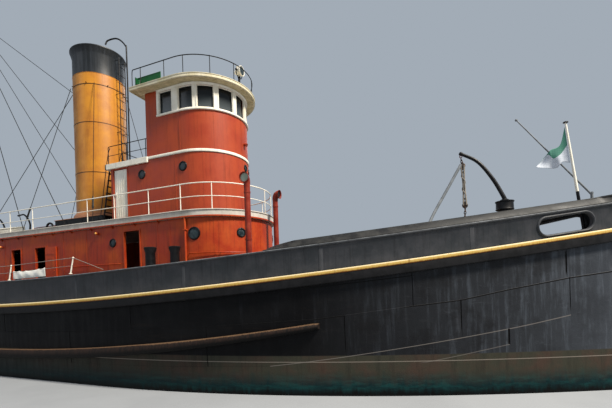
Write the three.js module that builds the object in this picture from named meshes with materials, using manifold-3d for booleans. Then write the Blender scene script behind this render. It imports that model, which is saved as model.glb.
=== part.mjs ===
// Ocean-going steam tugboat, 1:2 scale model of the ship.
// Every size below is in millimetres of the full-size ship; the exported group is scaled by MODEL_SCALE.
// +X points forward, +Y to port, +Z up. The origin is on the waterline, amidships, on the centreline.
import * as THREE from "three";
import { mergeVertices } from "three/addons/utils/BufferGeometryUtils.js";
import Module from "manifold-3d";

const wasm = await Module();
wasm.setup();

const MODEL_SCALE = 0.5;
const GAP = 12; // between pieces that touch
const CLEAR = 16; // round a moving leaf
const BIG = 60000;
const STARBOARD = -1;
const PORT = 1;
const SIDES = [
  ["starboard", STARBOARD],
  ["port", PORT],
];

// Paints: colour, roughness, metalness
const PAINT = {
  hullBlack: [0x1b1c1e, 0.7, 0.1],
  bulwarkGrey: [0x3a3d42, 0.6, 0.1],
  lightGrey: [0x6a6c6e, 0.6, 0.1],
  railYellow: [0xd9a441, 0.7, 0.0],
  fenderRust: [0x5a3a2a, 0.9, 0.0],
  houseRed: [0xb23a22, 0.55, 0.0],
  ventRed: [0x9c2f20, 0.5, 0.0],
  white: [0xe8e4d8, 0.5, 0.0],
  cream: [0xe3d9b8, 0.5, 0.0],
  buff: [0xd8922e, 0.5, 0.0],
  black: [0x26282b, 0.5, 0.2],
  glass: [0x20262a, 0.1, 0.0],
  green: [0x1f6b3a, 0.5, 0.0],
  signalRed: [0xa02020, 0.5, 0.0],
  canvas: [0xd9d6cc, 0.9, 0.0],
  bronze: [0x9a7b45, 0.4, 0.8],
  iron: [0x4a4744, 0.7, 0.4],
};

const ship = new THREE.Group();
ship.scale.setScalar(MODEL_SCALE);

// A closed geometry as a manifold-3d solid.
function solid(geometry) {
  const plain = geometry.clone();
  plain.deleteAttribute("normal");
  plain.deleteAttribute("uv");
  const merged = mergeVertices(plain, 0.01);
  return new wasm.Manifold(
    new wasm.Mesh({
      numProp: 3,
      vertProperties: merged.attributes.position.array,
      triVerts: new Uint32Array(merged.index.array),
    }),
  );
}

function geometryOf(body) {
  const mesh = body.getMesh();
  return new THREE.BufferGeometry()
    .setAttribute("position", new THREE.BufferAttribute(mesh.vertProperties, 3))
    .setIndex(new THREE.BufferAttribute(mesh.triVerts, 1));
}

function add(name, shape, paint, parent = ship) {
  const [color, roughness, metalness] = PAINT[paint];
  const geometry = shape.isBufferGeometry ? shape : geometryOf(shape);
  const mesh = new THREE.Mesh(geometry, new THREE.MeshStandardMaterial({ color, roughness, metalness }));
  mesh.name = name;
  parent.add(mesh);
  return mesh;
}

const join = (bodies) => bodies.reduce((whole, body) => whole.add(body));
const cut = (whole, tools) => tools.reduce((rest, tool) => rest.subtract(tool), whole);

function box(x0, x1, y0, y1, z0, z1) {
  const geometry = new THREE.BoxGeometry(x1 - x0, y1 - y0, z1 - z0);
  return solid(geometry.translate((x0 + x1) / 2, (y0 + y1) / 2, (z0 + z1) / 2));
}

// A round bar, or a cone, from one point to another.
function bar(from, to, radius, endRadius = radius, sides = 8) {
  const a = new THREE.Vector3(...from);
  const b = new THREE.Vector3(...to);
  const along = b.clone().sub(a);
  const geometry = new THREE.CylinderGeometry(endRadius, radius, along.length(), sides);
  const turn = new THREE.Quaternion().setFromUnitVectors(new THREE.Vector3(0, 1, 0), along.normalize());
  geometry.applyQuaternion(turn);
  return solid(geometry.translate((a.x + b.x) / 2, (a.y + b.y) / 2, (a.z + b.z) / 2));
}

// A tube bent along a smooth line through the points.
function pipe(points, radius, steps = 12, sides = 8) {
  const curve = new THREE.CatmullRomCurve3(points.map((p) => new THREE.Vector3(...p)));
  const section = new THREE.Shape();
  for (let i = 0; i < sides; i++) {
    const angle = (i / sides) * 2 * Math.PI;
    const corner = [radius * Math.cos(angle), radius * Math.sin(angle)];
    if (i) section.lineTo(...corner);
    else section.moveTo(...corner);
  }
  return solid(new THREE.ExtrudeGeometry(section, { steps, extrudePath: curve, bevelEnabled: false }));
}

function ball(centre, radius) {
  return solid(new THREE.SphereGeometry(radius, 10, 6).translate(...centre));
}

// A closed skin over a row of rings, which all have the corners of one flat outline.
function skin(rings, outline) {
  const corners = outline.length;
  const caps = THREE.ShapeUtils.triangulateShape(outline, []);
  const corner = caps[0].map((i) => outline[i]);
  const turned = THREE.ShapeUtils.isClockWise(outline) !== THREE.ShapeUtils.isClockWise(corner);
  if (turned) caps.forEach((face) => face.reverse());
  const index = [];
  for (let r = 0; r < rings.length - 1; r++)
    for (let c = 0; c < corners; c++) {
      const next = (c + 1) % corners;
      const here = r * corners;
      const there = here + corners;
      index.push(here + c, here + next, there + c);
      index.push(here + next, there + next, there + c);
    }
  const last = (rings.length - 1) * corners;
  for (const [a, b, c] of caps) {
    index.push(a, c, b);
    index.push(last + a, last + b, last + c);
  }
  const geometry = new THREE.BufferGeometry()
    .setAttribute("position", new THREE.Float32BufferAttribute(rings.flat(2), 3))
    .setIndex(index);
  const body = solid(geometry);
  if (body.volume() > 0) return body;
  for (let i = 0; i < index.length; i += 3) [index[i + 1], index[i + 2]] = [index[i + 2], index[i + 1]];
  return solid(geometry.setIndex(index));
}

// Sheer of the main deck, which is also the top of the rub rail
const SHEER_LOW = 2860;
const SHEER_LOW_X = -2000;
const SHEER_FORWARD = 2.97e-6;
const SHEER_AFT = 1.4e-6;
const DECK_CAMBER = 100;
function sheer(x) {
  const rise = x > SHEER_LOW_X ? SHEER_FORWARD : SHEER_AFT;
  return SHEER_LOW + rise * (x - SHEER_LOW_X) ** 2;
}

// Plan of the deck edge: a full middle, a fine entrance and a half-ellipse stern
const STEM_X = 22500;
const STERN_X = -23200;
const DECK_HALF = 3980;
const ENTRANCE = 15500;
const ENTRANCE_FULLNESS = 1.9;
const STERN_LENGTH = 7500;
const STERN_START = STERN_X + STERN_LENGTH;
const STEM_HALF = 60;
function deckHalf(x) {
  if (x < STERN_START) {
    const t = Math.min(1, (STERN_START - x) / STERN_LENGTH);
    return Math.max(STEM_HALF, DECK_HALF * Math.sqrt(1 - t * t));
  }
  const t = Math.max(0, 1 - (STEM_X - x) / ENTRANCE);
  return Math.max(STEM_HALF, DECK_HALF * (1 - t ** ENTRANCE_FULLNESS));
}
const WATER_HALF = 3900;
const WATER_ENTRANCE = 15600;
const WATER_FULLNESS = 1.87;
function waterHalf(x) {
  const t = Math.max(0, 1 - (STEM_X - x) / WATER_ENTRANCE);
  return Math.max(STEM_HALF, WATER_HALF * (1 - t ** WATER_FULLNESS));
}

// Hull sections from stem to stern.
// x, keel z, z of the turn of the side, half-breadth there (0: the waterline's), flatness of floor, hollow
const HULL_SECTIONS = [
  [22500, -1500, 0, 0, 1.0, 1.0],
  [22200, -1900, 0, 0, 1.0, 1.2],
  [21500, -2100, 0, 0, 1.0, 1.35],
  [20500, -2180, 0, 0, 1.05, 1.4],
  [19300, -2240, 0, 0, 1.15, 1.3],
  [18000, -2270, 0, 0, 1.3, 1.15],
  [16500, -2300, 0, 0, 1.5, 1.0],
  [15000, -2330, 0, 0, 1.8, 0.85],
  [13500, -2350, 0, 0, 2.0, 0.75],
  [12000, -2380, 0, 0, 2.3, 0.65],
  [10000, -2410, 0, 0, 2.6, 0.55],
  [7000, -2460, 0, 0, 3.0, 0.5],
  [2000, -2530, 0, 0, 3.0, 0.5],
  [-2000, -2600, 0, 0, 3.0, 0.5],
  [-7000, -2700, 200, 3900, 2.4, 0.6],
  [-11000, -2800, 500, 3890, 1.6, 0.9],
  [-14000, -2900, 900, 3770, 1.0, 1.7],
  [-15700, -2950, 1150, 3650, 1.0, 2.5],
  [-17200, -3000, 1500, 3500, 1.0, 4.0],
  [-17350, 100, 1550, 3480, 1.0, 1.1],
  [-18300, 250, 1650, 3290, 1.0, 0.9],
  [-19450, 540, 1800, 3000, 1.0, 0.8],
  [-21003, 1100, 2050, 2420, 1.0, 0.7],
  [-22195, 1700, 2350, 1660, 1.0, 0.6],
  [-22944, 2250, 2620, 830, 1.0, 0.5],
  [-23200, 2500, 2750, 60, 1.0, 0.5],
];
const KEEL_HALF = 60;
const SECTION_STEPS = 7;
function hullSection([x, keelZ, turnZ, turnHalf, floor, hollow]) {
  const half = turnHalf || waterHalf(x);
  const side = [];
  for (let i = 0; i <= SECTION_STEPS; i++) {
    const up = i / SECTION_STEPS;
    const y = half * (1 - (1 - up) ** floor) ** hollow;
    side.push([Math.max(KEEL_HALF, y), keelZ + (turnZ - keelZ) * up]);
  }
  side.push([deckHalf(x), sheer(x)]);
  const ring = side.map(([y, z]) => [x, -y, z]);
  ring.push([x, 0, sheer(x) + (DECK_CAMBER * deckHalf(x)) / DECK_HALF]);
  return ring.concat(side.reverse().map(([y, z]) => [x, y, z]));
}

// The engine room is open to the deckhouse above it.
const ENGINE_ROOM = { aft: -7000, forward: 4500, half: 1900, floor: -2000 };
const ENGINE = { aft: -6200, forward: 3700, half: 1450, bottom: -1985, top: 2300 };
const SHAFT_Z = -1560;
const STERN_TUBE = { aft: -17420, forward: -16000, radius: 210 };
const hullRings = HULL_SECTIONS.map(hullSection);
const hullOutline = hullRings[12].map(([, y, z]) => new THREE.Vector2(y, z));
const room = ENGINE_ROOM;
const plainHull = skin(hullRings, hullOutline);
const tube = bar(
  [STERN_TUBE.forward, 0, SHAFT_Z],
  [STERN_TUBE.aft, 0, SHAFT_Z],
  STERN_TUBE.radius,
  STERN_TUBE.radius,
  12,
);
const hull = cut(
  plainHull.add(tube),
  [box(room.aft, room.forward, -room.half, room.half, room.floor, BIG / 10)],
);
const belowDeck = plainHull.translate([0, 0, GAP]);
const onDeck = (body) => body.subtract(belowDeck);
add("hull", hull, "hullBlack");
add(
  "engine_block",
  box(ENGINE.aft, ENGINE.forward, -ENGINE.half, ENGINE.half, ENGINE.bottom, ENGINE.top),
  "iron",
);

// The deck edge as plan points with outward normals, on the hull's own stations, and a little past both ends
const STRAKE_START = 12800;
const edgeStations = HULL_SECTIONS.map(([x]) => x).filter((x) => x !== -17350);
edgeStations.push(STRAKE_START, STRAKE_START + 120, STRAKE_START + 400);
edgeStations.sort((a, b) => b - a);
const PAST_END = 300;
function edgePlan(side, from, to) {
  const inside = edgeStations.filter((x) => x < from - 1 && x > to + 1);
  const xs = [from, ...inside, to];
  const points = xs.map((x) => [x, side * deckHalf(x)]);
  if (from >= STEM_X) points.unshift([STEM_X + PAST_END, -side * PAST_END * 0.4]);
  if (to <= STERN_X) points.push([STERN_X - 1, -side * PAST_END]);
  return points.map(([x, y], i) => {
    const before = points[Math.max(0, i - 1)];
    const after = points[Math.min(points.length - 1, i + 1)];
    const length = Math.hypot(after[0] - before[0], after[1] - before[1]);
    const out = [((before[1] - after[1]) / length) * -side, ((after[0] - before[0]) / length) * -side];
    return { x, y, out };
  });
}

// A section of (outward, up) corners swept along the deck edge; base(x) is the height that up counts from.
function edgeSweep(side, from, to, sectionAt, base) {
  const rings = edgePlan(side, from, to).map(({ x, y, out }) =>
    sectionAt(x).map(([o, up]) => [x + out[0] * o, y + out[1] * o, base(x) + up]),
  );
  return skin(
    rings,
    sectionAt(0).map(([o, up]) => new THREE.Vector2(o, up)),
  );
}
const MIDLINE_GAP = 6;
function halfOf(body, side) {
  const near = MIDLINE_GAP * side;
  const far = BIG * side;
  return body.intersect(box(-BIG, BIG, Math.min(near, far), Math.max(near, far), -BIG, BIG));
}

// Bulwark with its cap rail, and the wide oval fairlead near the stem
const BULWARK_AFT = 930;
const BULWARK_DROP = 0.0085; // lower towards the stem
const BULWARK_THICK = 90;
const CAP_HEIGHT = 90;
const CAP_IN = 240;
const CAP_OUT = 40;
const bulwarkHeight = (x) => BULWARK_AFT - BULWARK_DROP * Math.max(0, x);
const bulwarkSection = (x) => {
  const top = bulwarkHeight(x);
  return [
    [0, GAP],
    [0, top - CAP_HEIGHT],
    [CAP_OUT, top - CAP_HEIGHT],
    [CAP_OUT, top],
    [-CAP_IN, top],
    [-CAP_IN, top - CAP_HEIGHT],
    [-BULWARK_THICK, top - CAP_HEIGHT],
    [-BULWARK_THICK, GAP],
  ];
};
const FAIRLEAD = { x: 21080, z: 4780, length: 1580, height: 460, rim: 90, depth: 130 };
function stadium(length, height) {
  const shape = new THREE.Shape();
  const r = height / 2;
  const flat = length / 2 - r;
  shape.moveTo(-flat, -r);
  shape.lineTo(flat, -r);
  shape.absarc(flat, 0, r, -Math.PI / 2, Math.PI / 2, false);
  shape.lineTo(-flat, r);
  shape.absarc(-flat, 0, r, Math.PI / 2, (3 * Math.PI) / 2, false);
  return shape;
}
function fairleadPart(side, length, height, depth) {
  const geometry = new THREE.ExtrudeGeometry(
    stadium(length, height),
    { depth, bevelEnabled: false, curveSegments: 6 },
  );
  geometry.translate(0, 0, -depth / 2).rotateX(Math.PI / 2);
  const slope = (deckHalf(FAIRLEAD.x + 500) - deckHalf(FAIRLEAD.x - 500)) / 1000;
  const rise = (sheer(FAIRLEAD.x + 500) - sheer(FAIRLEAD.x - 500)) / 1000;
  geometry.rotateY(-Math.atan(rise)).rotateZ(side * Math.atan(slope));
  return solid(
    geometry.translate(FAIRLEAD.x, side * (deckHalf(FAIRLEAD.x) - BULWARK_THICK / 2), FAIRLEAD.z),
  );
}
for (const [sideName, side] of SIDES) {
  const wall = halfOf(edgeSweep(side, STEM_X, STERN_X, bulwarkSection, sheer), side);
  const rim = fairleadPart(
    side,
    FAIRLEAD.length + 2 * FAIRLEAD.rim,
    FAIRLEAD.height + 2 * FAIRLEAD.rim,
    FAIRLEAD.depth,
  );
  const hole = fairleadPart(side, FAIRLEAD.length, FAIRLEAD.height, BULWARK_THICK * 12);
  add("bulwark_" + sideName, cut(wall.add(halfOf(rim, side)), [hole, belowDeck]), "bulwarkGrey");
}

// A plate that slopes inboard on top of the bow's bulwark, closed at the stem by a small deck
const STRAKE_TOP = 215;
const STRAKE_RISE = 900; // length of its rounded start
function strakeSection(x) {
  const low = bulwarkHeight(x) + GAP;
  const full = Math.min(1, Math.max(0.12, (x - STRAKE_START) / STRAKE_RISE));
  const top = low + STRAKE_TOP * Math.sqrt(full);
  return [
    [-10, low],
    [-210, top],
    [-300, top],
    [-300, top - 40],
    [-110, low],
  ];
}
const strakes = SIDES.map(([, side]) => edgeSweep(side, STEM_X, STRAKE_START, strakeSection, sheer));
const APEX = { aft: 21800, forward: 22480, lift: 60 };
const apexTop = (x) => sheer(x) + bulwarkHeight(x) + GAP + STRAKE_TOP;
const apexRing = (x) => {
  const y = Math.max(20, deckHalf(x) - 180);
  const low = sheer(x) + bulwarkHeight(x) + APEX.lift;
  return [
    [x, -y, low],
    [x, y, low],
    [x, y, apexTop(x)],
    [x, -y, apexTop(x)],
  ];
};
const apexOutline = [
  new THREE.Vector2(-1, 0),
  new THREE.Vector2(1, 0),
  new THREE.Vector2(1, 1),
  new THREE.Vector2(-1, 1),
];
const apex = skin([apexRing(APEX.aft), apexRing(APEX.forward)], apexOutline);
add("bow_strake", join([...strakes, apex]), "bulwarkGrey");

// Rub rail along the main deck, proud of the side
const RUB_OUT = 125;
const RUB_HEIGHT = 390;
const rubSection = () => [
  [GAP, -RUB_HEIGHT],
  [RUB_OUT - 30, -RUB_HEIGHT],
  [RUB_OUT, -RUB_HEIGHT + 60],
  [RUB_OUT, -60],
  [RUB_OUT - 30, 0],
  [GAP, 0],
];
for (const [sideName, side] of SIDES) {
  const rail = halfOf(edgeSweep(side, STEM_X, STERN_X, rubSection, sheer), side);
  add("rub_rail_" + sideName, rail, "railYellow");
}

// Lower fender, which climbs forward and tapers out
const FENDER = {
  aft: -14000,
  forward: 14400,
  low: 950,
  rise: 5.4e-6,
  riseAft: 3e-6,
  out: 230,
  half: 170,
  endHalf: 100,
};
const fenderZ = (x) => FENDER.low + (x > 0 ? FENDER.rise : FENDER.riseAft) * x * x;
function sideHalf(x, z) {
  const top = deckHalf(x);
  const low = waterHalf(x);
  return low + ((top - low) * z) / sheer(x);
}
function fenderRing(side, x) {
  const taper = Math.max(0, (Math.abs(x) - 8000) / (FENDER.forward - 8000));
  const half = FENDER.half + (FENDER.endHalf - FENDER.half) * taper;
  const z = fenderZ(x);
  const y = sideHalf(x, z + half) + GAP;
  return [
    [x, side * y, z - half],
    [x, side * (y + FENDER.out * 0.8), z - half * 0.8],
    [x, side * (y + FENDER.out), z],
    [x, side * (y + FENDER.out * 0.8), z + half * 0.8],
    [x, side * y, z + half],
  ];
}
const fenderOutline = [
  [0, -1],
  [0.8, -0.8],
  [1, 0],
  [0.8, 0.8],
  [0, 1],
].map(([u, v]) => new THREE.Vector2(u, v));
const fenderStations = [
  FENDER.forward,
  ...edgeStations.filter((x) => x < FENDER.forward && x > FENDER.aft),
  FENDER.aft,
];
for (const [sideName, side] of SIDES) {
  const rings = fenderStations.map((x) => fenderRing(side, x));
  add("lower_fender_" + sideName, skin(rings, fenderOutline), "fenderRust");
}

// Stern frame: shoe under the propeller and the rudder post
const SHOE = { forward: -16200, aft: -19950, half: 110, top: -3015, bottom: -3170 };
const POST = { x: -19430, radius: 95, top: 470 };
const shoe = box(SHOE.aft, SHOE.forward, -SHOE.half, SHOE.half, SHOE.bottom, SHOE.top);
const post = bar([POST.x, 0, SHOE.top - 60], [POST.x, 0, POST.top], POST.radius);
add("stern_frame", shoe.add(post), "hullBlack");

// Rudder, turning on its stock behind the post
const RUDDER = { x: -19700, length: 1650, bottom: -2950, top: -250, stockTop: 520, half: 70, stock: 95 };
const blade = new THREE.Shape();
blade.moveTo(0, RUDDER.bottom);
blade.lineTo(-RUDDER.length * 0.8, RUDDER.bottom);
blade.quadraticCurveTo(-RUDDER.length, RUDDER.bottom, -RUDDER.length, RUDDER.bottom + 500);
blade.lineTo(-RUDDER.length * 0.9, RUDDER.top - 500);
blade.quadraticCurveTo(-RUDDER.length * 0.8, RUDDER.top, 0, RUDDER.top + 200);
const bladeGeometry = new THREE.ExtrudeGeometry(
  blade,
  { depth: 2 * RUDDER.half, bevelEnabled: false, curveSegments: 4 },
);
bladeGeometry.translate(0, 0, -RUDDER.half).rotateX(Math.PI / 2);
const stock = bar([0, 0, RUDDER.bottom], [0, 0, RUDDER.stockTop], RUDDER.stock);
add("rudder", solid(bladeGeometry).add(stock), "hullBlack").position.x = RUDDER.x;

// Propeller with four blades on the shaft's line
const PROPELLER = {
  x: -18240,
  radius: 1350,
  hub: 240,
  hubLength: 800,
  blades: 4,
  chord: 620,
  thick: 60,
  pitch: 0.9,
};
const propellerHub = bar(
  [-PROPELLER.hubLength / 2, 0, 0],
  [PROPELLER.hubLength / 2, 0, 0],
  PROPELLER.hub * 0.7,
  PROPELLER.hub,
  12,
);
const shaftEnd = bar([0, 0, 0], [STERN_TUBE.aft - PROPELLER.x - GAP, 0, 0], 110);
const oneBlade = new THREE.SphereGeometry(1, 10, 8)
  .scale(PROPELLER.thick, PROPELLER.chord / 2, (PROPELLER.radius - 100) / 2)
  .rotateZ(PROPELLER.pitch)
  .translate(0, 0, PROPELLER.radius - (PROPELLER.radius - 100) / 2);
const propellerBlades = [];
for (let i = 0; i < PROPELLER.blades; i++)
  propellerBlades.push(solid(oneBlade.clone().rotateX((i * 2 * Math.PI) / PROPELLER.blades + Math.PI / 4)));
add(
  "propeller",
  join([propellerHub, shaftEnd, ...propellerBlades]),
  "bronze",
).position.set(PROPELLER.x, 0, SHAFT_Z);

// A house plan: flat sides, a half-round front and a square back
function housePlan(half, aft, arcX) {
  const shape = new THREE.Shape();
  shape.moveTo(aft, -half);
  shape.lineTo(arcX, -half);
  shape.absarc(arcX, 0, half, -Math.PI / 2, Math.PI / 2, false);
  shape.lineTo(aft, half);
  shape.closePath();
  return shape;
}
const ROUND_STEPS = 18;
function slab(half, aft, arcX, z0, z1) {
  const geometry = new THREE.ExtrudeGeometry(housePlan(half, aft, arcX), {
    depth: z1 - z0,
    bevelEnabled: false,
    curveSegments: ROUND_STEPS,
  });
  return solid(geometry.translate(0, 0, z0));
}
function houseWalls(half, aft, arcX, thick, z0, z1) {
  return slab(half, aft, arcX, z0, z1).subtract(slab(half - thick, aft + thick, arcX, z0 - 10, z1 + 10));
}
function doorway(side, aft, forward, z0, z1, half) {
  const outer = side * (half + 200);
  const inner = side * (half - 200);
  return box(aft, forward, Math.min(outer, inner), Math.max(outer, inner), z0, z1);
}

// Main deckhouse
const DECKHOUSE = { half: 2200, aft: -9500, arcX: 8990, thick: 80, top: 5858 };
const LEAF = 40;
// aft jamb, forward jamb, sill z, head z, way it opens
const DECKHOUSE_DOORWAYS = [
  ["forward", 6040, 6830, 3440, 5600, "in"],
  ["middle", 700, 1400, 3180, 5300, "out"],
  ["after", -950, -320, 3180, 5300, "none"],
];
const walls = onDeck(
  houseWalls(
    DECKHOUSE.half,
    DECKHOUSE.aft,
    DECKHOUSE.arcX,
    DECKHOUSE.thick,
    SHEER_LOW - 200,
    DECKHOUSE.top,
  ),
);
const deckhouseCuts = [];
for (const [, side] of SIDES)
  for (const [, aft, forward, sill, head] of DECKHOUSE_DOORWAYS)
    deckhouseCuts.push(doorway(side, aft, forward, sill, head, DECKHOUSE.half));
add("deckhouse_walls", cut(walls, deckhouseCuts), "houseRed");

// A leaf that opens inward hangs on its inner corner at the forward jamb: square to the wall when open.
function openLeaf(width, height, side) {
  return box(-LEAF, 0, side > 0 ? -width : 0, side > 0 ? 0 : width, 0, height);
}
function shutLeaf(width, height, side) {
  return box(-width, 0, side > 0 ? 0 : -LEAF, side > 0 ? LEAF : 0, 0, height);
}
// A leaf that opens outward lies hooked back on the wall, forward of its hinge pin.
const HINGE_PIN = 20;
const HINGE_OFF = CLEAR + HINGE_PIN;
function hookedLeaf(width, height) {
  const leaf = box(8, width, -LEAF / 2, LEAF / 2, 0, height);
  return leaf.add(bar([0, 0, 60], [0, 0, height - 60], HINGE_PIN));
}
for (const [sideName, side] of SIDES)
  for (const [name, aft, forward, sill, head, opens] of DECKHOUSE_DOORWAYS) {
    if (opens === "none") continue;
    const height = head - sill - 2 * CLEAR;
    const inner = DECKHOUSE.half - DECKHOUSE.thick;
    const width = forward - aft;
    const leaf = opens === "in" ? openLeaf(width - 2 * CLEAR, height, side) : hookedLeaf(width, height);
    const mesh = add(["deckhouse_door", name, sideName].join("_"), leaf, "houseRed");
    if (opens === "in") mesh.position.set(forward - CLEAR, side * inner, sill + CLEAR);
    else mesh.position.set(forward + CLEAR, side * (DECKHOUSE.half + HINGE_OFF), sill + CLEAR);
  }

// Boat deck
const BOAT_DECK = { half: 2300, aft: -10500, arcX: 8990, bottom: 5870, top: 6120 };
add(
  "boat_deck",
  slab(BOAT_DECK.half, BOAT_DECK.aft, BOAT_DECK.arcX, BOAT_DECK.bottom, BOAT_DECK.top),
  "white",
);
const ON_BOAT_DECK = BOAT_DECK.top + GAP;

// Plan points along a house's starboard side, round its front and back down the port side
function roundPath(half, aft, arcX, frontSteps, sideStep) {
  const points = [];
  const sideSteps = Math.round((arcX - aft) / sideStep);
  for (let i = 0; i < sideSteps; i++) points.push([aft + ((arcX - aft) * i) / sideSteps, -half]);
  for (let i = 0; i <= frontSteps; i++) {
    const angle = -Math.PI / 2 + (Math.PI * i) / frontSteps;
    points.push([arcX + half * Math.cos(angle), half * Math.sin(angle)]);
  }
  for (let i = sideSteps - 1; i >= 0; i--) points.push([aft + ((arcX - aft) * i) / sideSteps, half]);
  return points;
}
// A guard rail of square bars on posts
function guardRail(path, z0, rails, thick, postEvery = 1) {
  const bars = [];
  const top = rails[0];
  path.forEach(([x, y], i) => {
    if (i % postEvery === 0) bars.push(box(x - thick, x + thick, y - thick, y + thick, z0, z0 + top));
  });
  for (const up of rails) {
    const rings = path.map(([x, y], i) => {
      const before = path[Math.max(0, i - 1)];
      const after = path[Math.min(path.length - 1, i + 1)];
      const length = Math.hypot(after[0] - before[0], after[1] - before[1]);
      const nx = ((after[1] - before[1]) / length) * thick;
      const ny = (-(after[0] - before[0]) / length) * thick;
      const z = z0 + up;
      return [
        [x - nx, y - ny, z - thick],
        [x + nx, y + ny, z - thick],
        [x + nx, y + ny, z + thick],
        [x - nx, y - ny, z + thick],
      ];
    });
    bars.push(skin(rings, apexOutline));
  }
  return join(bars);
}
const DECK_RAIL = { half: 2187, aft: -2700, rails: [980, 490], thick: 18 };
const deckRailPath = roundPath(DECK_RAIL.half, DECK_RAIL.aft, BOAT_DECK.arcX, 8, 1460);
add("boat_deck_rail", guardRail(deckRailPath, ON_BOAT_DECK, DECK_RAIL.rails, DECK_RAIL.thick), "white");

// Upper house, with the pilothouse on top of it in one tower
const TOWER = { half: 1653, aft: 4800, pilotAft: 6790, arcX: 8557, thick: 80 };
const BAND = { bottom: 8500, top: 8600, out: 40, aft: 4560 };
const UPPER_DOOR = { aft: 4950, forward: 5700, sill: 6260, head: 8330 };
const upperWalls = houseWalls(
  TOWER.half,
  TOWER.aft,
  TOWER.arcX,
  TOWER.thick,
  ON_BOAT_DECK,
  BAND.bottom - GAP,
);
const upperCuts = SIDES.map(([, side]) =>
  doorway(side, UPPER_DOOR.aft, UPPER_DOOR.forward, UPPER_DOOR.sill, UPPER_DOOR.head, TOWER.half),
);
add("upper_house_walls", cut(upperWalls, upperCuts), "houseRed");
for (const [sideName, side] of SIDES) {
  const width = UPPER_DOOR.forward - UPPER_DOOR.aft - 2 * CLEAR;
  const leaf = shutLeaf(width, UPPER_DOOR.head - UPPER_DOOR.sill - 2 * CLEAR, side);
  const mesh = add("upper_house_door_" + sideName, leaf, "white");
  mesh.position.set(UPPER_DOOR.forward - CLEAR, side * (TOWER.half - TOWER.thick), UPPER_DOOR.sill + CLEAR);
}

// Platform: the pilothouse floor, its band round the tower, the aft landing with its deep apron and rails,
// and the ladder down
const LANDING_RAIL = { x0: 4640, x1: 6700, y: 1610, top: 780, mid: 390, thick: 16 };
const APRON = { bottom: 8380, out: 90, forward: 6870, thick: 78 };
const LADDER = { footX: 4080, y0: -1500, y1: -900, rungs: 8 };
const landing = slab(TOWER.half + BAND.out, BAND.aft, TOWER.arcX, BAND.bottom, BAND.top);
const apronHalf = TOWER.half + APRON.out;
const aftApron = box(BAND.aft, BAND.aft + APRON.thick, -apronHalf, apronHalf, APRON.bottom, BAND.top);
const landingParts = [landing, aftApron];
for (const [, side] of SIDES) {
  const inner = side * (apronHalf - APRON.thick);
  const outer = side * apronHalf;
  const [y0, y1] = [Math.min(inner, outer), Math.max(inner, outer)];
  landingParts.push(box(BAND.aft, APRON.forward, y0, y1, APRON.bottom, BAND.top));
  const y = side * LANDING_RAIL.y;
  const t = LANDING_RAIL.thick;
  for (const x of [LANDING_RAIL.x0, (LANDING_RAIL.x0 + LANDING_RAIL.x1) / 2, LANDING_RAIL.x1])
    landingParts.push(box(x - t, x + t, y - t, y + t, BAND.top - 20, BAND.top + LANDING_RAIL.top));
  for (const up of [LANDING_RAIL.top, LANDING_RAIL.mid])
    landingParts.push(
      box(LANDING_RAIL.x0 - t, LANDING_RAIL.x1 + t, y - t, y + t, BAND.top + up - t, BAND.top + up + t),
    );
}
for (const y of [LADDER.y0, LADDER.y1]) {
  const foot = [LADDER.footX, y, ON_BOAT_DECK + 20];
  landingParts.push(bar([BAND.aft + 30, y, BAND.top - 50], foot, 30, 30, 6));
}
for (let i = 1; i <= LADDER.rungs; i++) {
  const t = i / (LADDER.rungs + 1);
  const x = BAND.aft + 30 + (LADDER.footX - BAND.aft - 30) * t;
  const z = BAND.top - 50 + (ON_BOAT_DECK + 20 - BAND.top + 50) * t;
  landingParts.push(box(x - 60, x + 60, LADDER.y0, LADDER.y1, z - 12, z + 12));
}
add("pilothouse_platform", join(landingParts), "white");

// Pilothouse walls with nine windows; arc positions are measured along the wall from the front centre
const PILOTHOUSE = { bottom: BAND.top + GAP, top: 11138, sill: 10190, head: 11050, windowHalf: 315 };
const WINDOW_ARCS = [-3345, -2420, -1615, -800, 0, 800, 1615, 2420, 3345];
const QUARTER = (Math.PI / 2) * TOWER.half;
function windowPlace(arc) {
  const side = Math.sign(arc);
  const past = Math.abs(arc) - QUARTER;
  if (past > 0) return { x: TOWER.arcX - past, y: side * TOWER.half, angle: (side * Math.PI) / 2 };
  const angle = arc / TOWER.half;
  return { x: TOWER.arcX + TOWER.half * Math.cos(angle), y: TOWER.half * Math.sin(angle), angle };
}
function windowCut(arc) {
  const { x, y, angle } = windowPlace(arc);
  const geometry = new THREE.BoxGeometry(600, 2 * PILOTHOUSE.windowHalf, PILOTHOUSE.head - PILOTHOUSE.sill);
  geometry.rotateZ(angle);
  return solid(geometry.translate(x, y, (PILOTHOUSE.head + PILOTHOUSE.sill) / 2));
}
const PILOT_DOOR = { half: 340, sill: 8680, head: 10600 };
const pilotWalls = houseWalls(
  TOWER.half,
  TOWER.pilotAft,
  TOWER.arcX,
  TOWER.thick,
  PILOTHOUSE.bottom,
  PILOTHOUSE.top,
);
const pilotDoorway = box(
  TOWER.pilotAft - 200,
  TOWER.pilotAft + 200,
  -PILOT_DOOR.half,
  PILOT_DOOR.half,
  PILOT_DOOR.sill,
  PILOT_DOOR.head,
);
add("pilothouse_walls", cut(pilotWalls, [...WINDOW_ARCS.map(windowCut), pilotDoorway]), "houseRed");
const pilotLeafWidth = 2 * (PILOT_DOOR.half - CLEAR);
const pilotLeaf = box(-LEAF, 0, -pilotLeafWidth, 0, 0, PILOT_DOOR.head - PILOT_DOOR.sill - 2 * CLEAR);
add("pilothouse_door", pilotLeaf, "houseRed").position.set(
  TOWER.pilotAft + TOWER.thick,
  PILOT_DOOR.half - CLEAR,
  PILOT_DOOR.sill + CLEAR,
);
const GLASS = { thick: 14, aft: 7100 };
const glassHalf = TOWER.half - TOWER.thick - GAP;
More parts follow.
